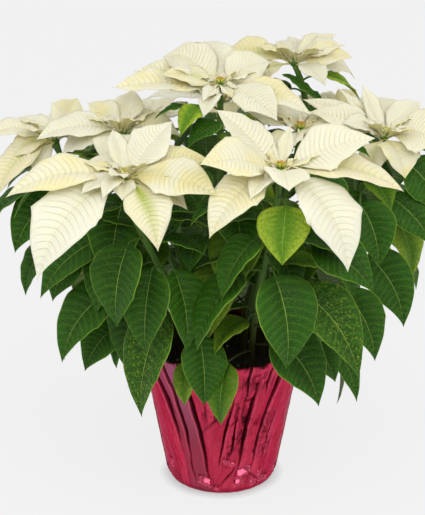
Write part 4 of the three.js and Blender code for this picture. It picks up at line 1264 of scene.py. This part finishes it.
# The long folds of the foil, from the left round the front to the right: where each lies at the rim,
# half-way up and at the foot, in degrees from the front; its depth and the width of its mouth, which gets
# painted shade, in millimetres; the shares of the height between which it runs; and how much painted mauve
# reflection the panel beyond it gets. The shallow rows at each side paint a dark reflection down the
# foil's sides.
FRONT_FOLDS = [
    (-86, -84, -84, 0.6, 8.5, -0.4, 1.0, 0.2), (-79, -77.5, -77, 0.6, 6.0, -0.4, 1.0, 0.3),
    (-74, -61, -43, 2.2, 1.1, 0.14, 0.44, 0.0),
    (-66, -43, -35, 5.5, 6.4, 0.3, 1.0, 0.8), (-50, -33, -30, 4.6, 3.6, 0.14, 1.0, 1.0),
    (-33, -20, -11, 6.0, 4.2, 0.03, 1.0, 0.0), (16, 3, -8, 4.6, 2.4, 0.2, 0.8, 0.0),
    (18, 10.5, 4, 3.2, 1.8, 0.3, 0.64, 0.0), (21, 15, 9, 3.6, 2.6, 0.74, 1.0, 0.0),
    (31, 21, 13, 6.0, 4.8, 0.12, 0.95, 0.0), (41, 28, 21, 4.2, 3.2, 0.76, 1.0, 0.0),
    (54, 35.5, 29, 5.8, 4.2, 0.1, 1.0, 0.0), (63, 46.5, 43, 2.4, 1.2, 0.2, 0.72, 0.1),
    (79, 77.5, 77, 0.6, 6.0, -0.4, 1.0, 0.4), (86, 84, 84, 0.6, 8.5, -0.4, 1.0, 0.5),
]
BACK_FOLDS = 15
# Short slanting creases, whose mouths get painted shade: the angle and the height of each end, then depth
# and width in millimetres.
SLANTS = [
    (-17, 80, 6, 112, 3.2, 2.0), (16, 40, -4, 10, 2.6, 1.6), (-31, 44, -27, 14, 1.8, 1.3),
    (24, 30, 38, 16, 1.8, 1.4), (-13, 88, -14, 128, 1.6, 1.2), (8, 116, 27, 121, 2.2, 1.3),
    (22, 146, 33, 151, 1.6, 1.2), (40, 96, 44, 62, 1.6, 1.2),
]
# Where the foil is crushed: the angle and the height of the middle, how far it reaches, and how badly.
CRUSHED = [
    (-4, 112, 14, 24, 0.9), (17, 92, 14, 44, 1.0), (41, 72, 8, 36, 1.0), (8, 56, 8, 20, 0.8),
    (26, 140, 22, 12, 0.8), (-16, 16, 8, 10, 0.8), (22, 24, 12, 12, 0.8), (44, 14, 12, 8, 0.8),
    (4, 40, 8, 8, 0.7), (-60, 14, 16, 8, 0.7), (72, 14, 12, 8, 0.7),
]
EVERYWHERE_CRUSHED = 0.16
DENTS = ((9.0, 2.2), (4.2, 1.2))  # size and depth of the dents that crushing leaves
# Dents whose lower side faces up: the angle and the height of the middle, the length, the height of the
# lower side and how many millimetres the dent climbs from left to right.
POCKETS = [
    (-17, 16, 14, 9, -5), (-6, 9, 6, 6, 1), (21, 27, 18, 9, 7), (17, 16, 10, 7, 3), (4, 43, 7, 5, -1),
    (10, 41, 5, 5, 1), (46, 12, 15, 6, -1), (33, 12, 9, 6, 1), (-57, 27, 6, 9, -2), (40, 22, 6, 7, 2),
    (68, 16, 9, 7, 1), (-76, 13, 9, 7, 1), (30, 52, 5, 5, 1),
]
POCKET_SLOPE = 0.9  # how far such a dent goes in for each millimetre of its lower side
SHARP = 0.6  # how fast the near side of a fold falls away, in millimetres
# How far in the foil may go at each height, so that it stays clear of the pot.
DEEPEST = {"heights": (0, 3, 12, 60, 126, 141, 160), "depths": (0.5, 2, 8, 8.5, 7.5, 4.5, 6)}
INNER_FACE = {"reach": 11, "above": 12}  # how far in the film's inner face may lie above a height


def folds():
    """All the folds in order round the pot; those at the back draw together towards its middle."""
    draw = draws(SEEDS["foil"])
    rows = list(FRONT_FOLDS)
    first, last = FRONT_FOLDS[-1][1], 360 + FRONT_FOLDS[0][1]
    for i in range(1, BACK_FOLDS + 1):
        middle = first + (last - first) * (i + 0.5 * (draw() - 0.5)) / (BACK_FOLDS + 1)
        away = middle - 180
        rows.append((180 + away * 0.84, middle, 180 + away * 1.12, 3 + 3 * draw(), 1.2 + 3.4 * draw(),
                     0.25 * draw(), 1.0, 0.5 * draw()))
    return rows


def fold_angle(row, share):
    """The angle of a fold in degrees at a share of the height."""
    rim, middle, foot = row[:3]
    wander = 1.1 * noise.noise(Vector((middle * 3, 5, share * 7)))
    return foot + share * (4 * middle - rim - 3 * foot + 2 * share * (rim + foot - 2 * middle)) + wander


def open_share(row, share):
    """How wide open a fold is at a share of the height: it tapers to nothing at each end but the rim."""
    low, high = row[5:7]
    if not low < share <= high + 0.001:
        return 0.0
    top = 1.0 if high > 0.99 else min(1, (high - share) / (0.45 * (high - low)))
    taper = min(1, (share - low) / (0.55 * (high - low))) * top
    uneven = noise.noise(Vector((row[1] * 7, 0, share * 5)))
    return taper**0.8 * (0.95 + 0.35 * uneven)


def slanting(angle, height, radius):
    """Depth of the slanting creases at a place on the foil, and the painted shade in their mouths."""
    depth = dark = 0.0
    for first_angle, first_height, last_angle, last_height, most, width in SLANTS:
        span = Vector((math.radians(last_angle - first_angle) * radius, last_height - first_height))
        spot = Vector((math.radians(angle - first_angle) * radius, height - first_height))
        share = min(1, max(0, spot.dot(span) / span.length_squared))
        away = (spot - span * share).length
        mouth = math.exp(-((away / (0.6 * width)) ** 2)) * math.sin(math.pi * (0.08 + 0.84 * share))
        depth = max(depth, most * mouth)
        dark = max(dark, mouth)
    return depth, dark


def foil_profile():
    """Radius and height from the middle of the base, round the foot, up the wall and over the rim."""
    base, rim, height, corner = FOIL["base"], FOIL["rim"], FOIL["height"], FOIL["corner"]
    slope = (rim - base) / height
    path = [(0, 0), (20, 0), (36, 0)]
    path += [(base - corner + corner * math.sin(a), corner - corner * math.cos(a))
             for a in (math.radians(15 * i) for i in range(6))]
    levels = np.concatenate((np.arange(corner, 46, 1.4), np.linspace(46, height - 1.5, 44)))
    path += [(base + slope * z, z) for z in levels]
    path += [(rim - 0.6, height - 0.4), (rim - 1.8, height - 0.3), (rim - 3.0, height - 1.5),
             (rim - 3.6, height - 4), (rim - 4.2, height - 6.5)]
    return np.array(path)


def pockets(angle, height, radius):
    """Depth of the dents that face up at a place on the foil, how much of it faces up, which gets a painted
    highlight, and the painted shade on its steep upper side.
    """
    depth = upward = dark = 0.0
    for middle, level, length, tall, climb in POCKETS:
        along = math.radians(angle - middle) * radius / length
        up = (height - level - climb * along) / tall + 0.5 + 0.1 * noise.noise(Vector((angle / 3, level, 0)))
        if abs(along) < 0.5 and 0 < up < 1.4:
            here = POCKET_SLOPE * tall * math.cos(math.pi * along) ** 0.25 * min(up, 2.5 * (1.4 - up))
            if here > depth:
                depth, upward, dark = here, float(up < 0.98), 0.7 * float(up >= 0.98)
    return depth, upward, dark


def crushing(angle, height):
    """How badly the foil is crushed at an angle in degrees and a height."""
    worst = EVERYWHERE_CRUSHED
    for middle, level, reach, tall, much in CRUSHED:
        worst = max(worst, much * math.exp(-((angle - middle) / reach) ** 2 - ((height - level) / tall) ** 2))
    behind = 0.7 * min(1, max(0, (abs(angle) - 85) / 20)) * math.exp(-((height - 14) / 12) ** 2)
    return max(worst, behind, 0.5 * max(0, height / FOIL["height"] - 0.93) / 0.07)


def foil_wrap():
    """The foil: a sheet pleated up round the pot, creased at its folds and dented between them."""
    noise.seed_set(SEEDS["foil"])  # without a seed, noise_vector gives other dents on every run
    rows = folds()
    path = foil_profile()
    widths = [(rows[(i + 1) % len(rows)][1] - row[1]) % 360 for i, row in enumerate(rows)]
    columns = [max(10, round(width / 360 * FOIL["columns"])) for width in widths]
    starts = np.cumsum([0] + columns)
    middles = [row[1] for row in rows] + [rows[0][1] + 360]
    bm = bmesh.new()
    layers = [bm.verts.layers.float.new(name) for name in ("painted_crease_shade", "painted_mauve_reflection", "crushed", "stretched_and_painted_highlight")]
    run_layer = bm.verts.layers.float_vector.new("run")
    bmesh.ops.create_grid(bm, x_segments=int(starts[-1]), y_segments=len(path) - 1, size=0.5)
    for vertex in bm.verts:
        step = round((vertex.co.x + 0.5) * starts[-1])
        level = round((vertex.co.y + 0.5) * (len(path) - 1))
        radius, height = path[level]
        share = min(1, height / FOIL["height"]) if level > 2 else 0
        k = min(len(rows) - 1, int(np.searchsorted(starts, step, side="right")) - 1)
        here, there = rows[k], rows[(k + 1) % len(rows)]
        within = (step - starts[k]) / columns[k]
        within -= 0.1 * math.sin(TURN * within)
        start = fold_angle(here, share)
        span = (fold_angle(there, share) - start) % 360
        degrees = (start + within * span + 180) % 360 - 180
        angle = math.radians(degrees)
        arc = math.radians(span) * max(radius, 1)
        spot = Vector((radius * math.sin(angle), -radius * math.cos(angle), height))

        # Between two folds the foil is a flat panel, and at a fold one panel slips behind the next.
        depth = 0.35 * (1 - math.sin(math.pi * within))
        # Each fold's mouth is marked for painted shade, and a strip of the panel beside a deep fold for a
        # painted highlight.
        painted_crease_shade = lip = 0.0
        sides = (here, within * arc, here[1] < 0), (there, (1 - within) * arc, there[1] >= 0)
        for row, away, faces_here in sides:
            mouth = open_share(row, share)
            reach = max(SHARP, row[4] * mouth if faces_here else SHARP)
            depth += row[3] * min(1, mouth) * math.exp(-((away / reach) ** 2))
            painted_crease_shade = max(painted_crease_shade, min(1, 1.5 * mouth) * math.exp(-((away / reach / 0.85) ** 4)))
            if row[3] > 1 and not faces_here:
                lip = max(lip, 0.8 * min(1, mouth) * math.exp(-(((away - 1.6) / 0.8) ** 2)))
        slant_depth, painted_slant_shade = slanting(degrees, height, radius)
        depth += slant_depth
        painted_crease_shade = max(painted_crease_shade, 0.85 * painted_slant_shade)
        crushed = crushing(degrees, height)
        bent_spot = Vector((spot.x, spot.y, spot.z * 0.8)) + 3 * noise.noise_vector(spot / 14)
        # An up-facing dent: a painted highlight on its lower side, painted shade on its steep upper side.
        pocket, upward, painted_shade = pockets(degrees, height, radius)
        crushed *= 1 - min(0.95, pocket)
        painted_crease_shade = max(painted_crease_shade, painted_shade)
        for size, dent in DENTS:
            nearest = noise.voronoi(bent_spot / size, distance_metric="MANHATTAN")[0][0]
            depth += min(1.3, crushed) * dent * nearest
        depth += pocket
        deepest = np.interp(height, DEEPEST["heights"], DEEPEST["depths"])
        ragged = 4 * noise.noise(spot / 6) * max(0, share - 0.93) / 0.07
        out = max(0.0, radius - 0.2 * (level > 2) - min(deepest, depth))
        vertex.co = (out * math.sin(angle), -out * math.cos(angle), max(0, height + min(0, ragged - 1)))
        high = min(1, max(0, (share - 0.35) / 0.45))
        # Painted highlight: the lips beside folds and the up-facing sides of dents get a paler tint.
        pale = max(lip, upward)
        # The panel beyond a fold gets painted mauve reflection, more of it higher up.
        painted_mauve_reflection = here[7] * (0.45 + 0.55 * high) * min(1, within * arc / 1.2)
        values = min(1, painted_crease_shade), painted_mauve_reflection, min(1, crushed), pale
        for layer, value in zip(layers, values):
            vertex[layer] = value
        smoothed = np.interp(starts[k] + within * columns[k], starts, middles)
        vertex[run_layer] = Vector((math.radians(smoothed) * FOIL["rim"] * MM, 0, height * MM))
    bmesh.ops.remove_doubles(bm, verts=bm.verts, dist=0.01)
    bmesh.ops.recalc_face_normals(bm, faces=bm.faces)
    if sum(face.normal.dot(face.calc_center_median()) for face in bm.faces) < 0:
        bmesh.ops.reverse_faces(bm, faces=bm.faces)
    bmesh.ops.solidify(bm, geom=bm.faces[:], thickness=FOIL["film"])

    # Where the film is folded sharply its inner face can shoot out, so it is kept near the outer one.
    for vertex in bm.verts:
        wall = FOIL["base"] + (FOIL["rim"] - FOIL["base"]) * vertex.co.z / FOIL["height"]
        innermost = wall - INNER_FACE["reach"] if vertex.co.z > INNER_FACE["above"] else 0
        reach = max(0.001, vertex.co.xy.length)
        vertex.co.xy *= min(wall, max(innermost, reach)) / reach
        vertex.co.z = min(FOIL["height"], max(0, vertex.co.z))
    for face in bm.faces:
        face.smooth = True
    return finish_piece("pleated_foil", bm, [red_foil()], "foil_wrap")


# ---------------------------------------------------------------- assembly

heads = dict(HEADS)
for name, head in BACK_HEADS.items():
    heads[name] = {**head, "bracts": whorl_bracts(head["turn"]), "leaves": []}

for index, (name, head) in enumerate(heads.items()):
    foliage(name, head, FILL, index)
    bracts(name, head, index)
    cyathia(name, head, index)
grow_pot()
peat_soil()
foil_wrap()

# ---------------------------------------------------------------- stage, light and camera

floor_bm = bmesh.new()
bmesh.ops.create_grid(floor_bm, x_segments=1, y_segments=1, size=20)
floor_mesh = part_mesh(floor_bm)
floor_mesh.materials.append(pale_floor())
floor = bpy.data.objects.new("studio_floor", floor_mesh)
bpy.context.scene.collection.objects.link(floor)

# The studio is dimmer near the floor than overhead, and three softboxes hang high in front.
world = bpy.data.worlds.new("soft studio")
world.use_nodes = True
sky = world.node_tree
place = add(sky, "TexCoord")
split = add(sky, "SeparateXYZ", None, {0: place.outputs["Generated"]})
sky_strength = add(sky, "MapRange", GENTLE, {0: split.outputs[2], 1: 0.0, 2: 0.8, 3: 0.36, 4: 0.78})
sky.links.new(sky_strength.outputs[0], sky.nodes["Background"].inputs["Strength"])
sky.nodes["Background"].inputs["Color"].default_value = (1.0, 1.0, 1.0, 1)
bpy.context.scene.world = world


def light(name, kind, place, turn, **settings):
    lamp = bpy.data.lights.new(name, kind)
    for setting, value in settings.items():
        setattr(lamp, setting, value)
    holder = bpy.data.objects.new(name, lamp)
    holder.location = place
    holder.rotation_euler = [math.radians(angle) for angle in turn]
    bpy.context.scene.collection.objects.link(holder)


light("key", "SUN", (0, 0, 2), (24, 14, 0), energy=0.2, angle=math.radians(30))
for side in (-46, 2, 50):
    turn = math.radians(side)
    light(f"softbox_{side}", "AREA", (1.1 * math.sin(turn), -1.1 * math.cos(turn), 1.05), (49, 0, side),
          energy=3.4, shape="RECTANGLE", size=1.1, size_y=0.45)

bpy.context.scene.view_settings.view_transform = "Standard"

CAMERA = {"target": (-0.010, 0, 0.249), "elevation": 20, "distance": 1.7, "focal_px": 1619, "height_px": 515}
lens = bpy.data.cameras.new("camera")
lens.sensor_fit = "VERTICAL"
lens.sensor_height = 36
lens.lens = CAMERA["focal_px"] / CAMERA["height_px"] * lens.sensor_height
lens.clip_end = 100
camera = bpy.data.objects.new("camera", lens)
elevation = math.radians(CAMERA["elevation"])
back = Vector((0, -math.cos(elevation), math.sin(elevation)))
camera.location = Vector(CAMERA["target"]) + back * CAMERA["distance"]
camera.rotation_euler = (math.pi / 2 - elevation, 0, 0)
bpy.context.scene.collection.objects.link(camera)
bpy.context.scene.camera = camera
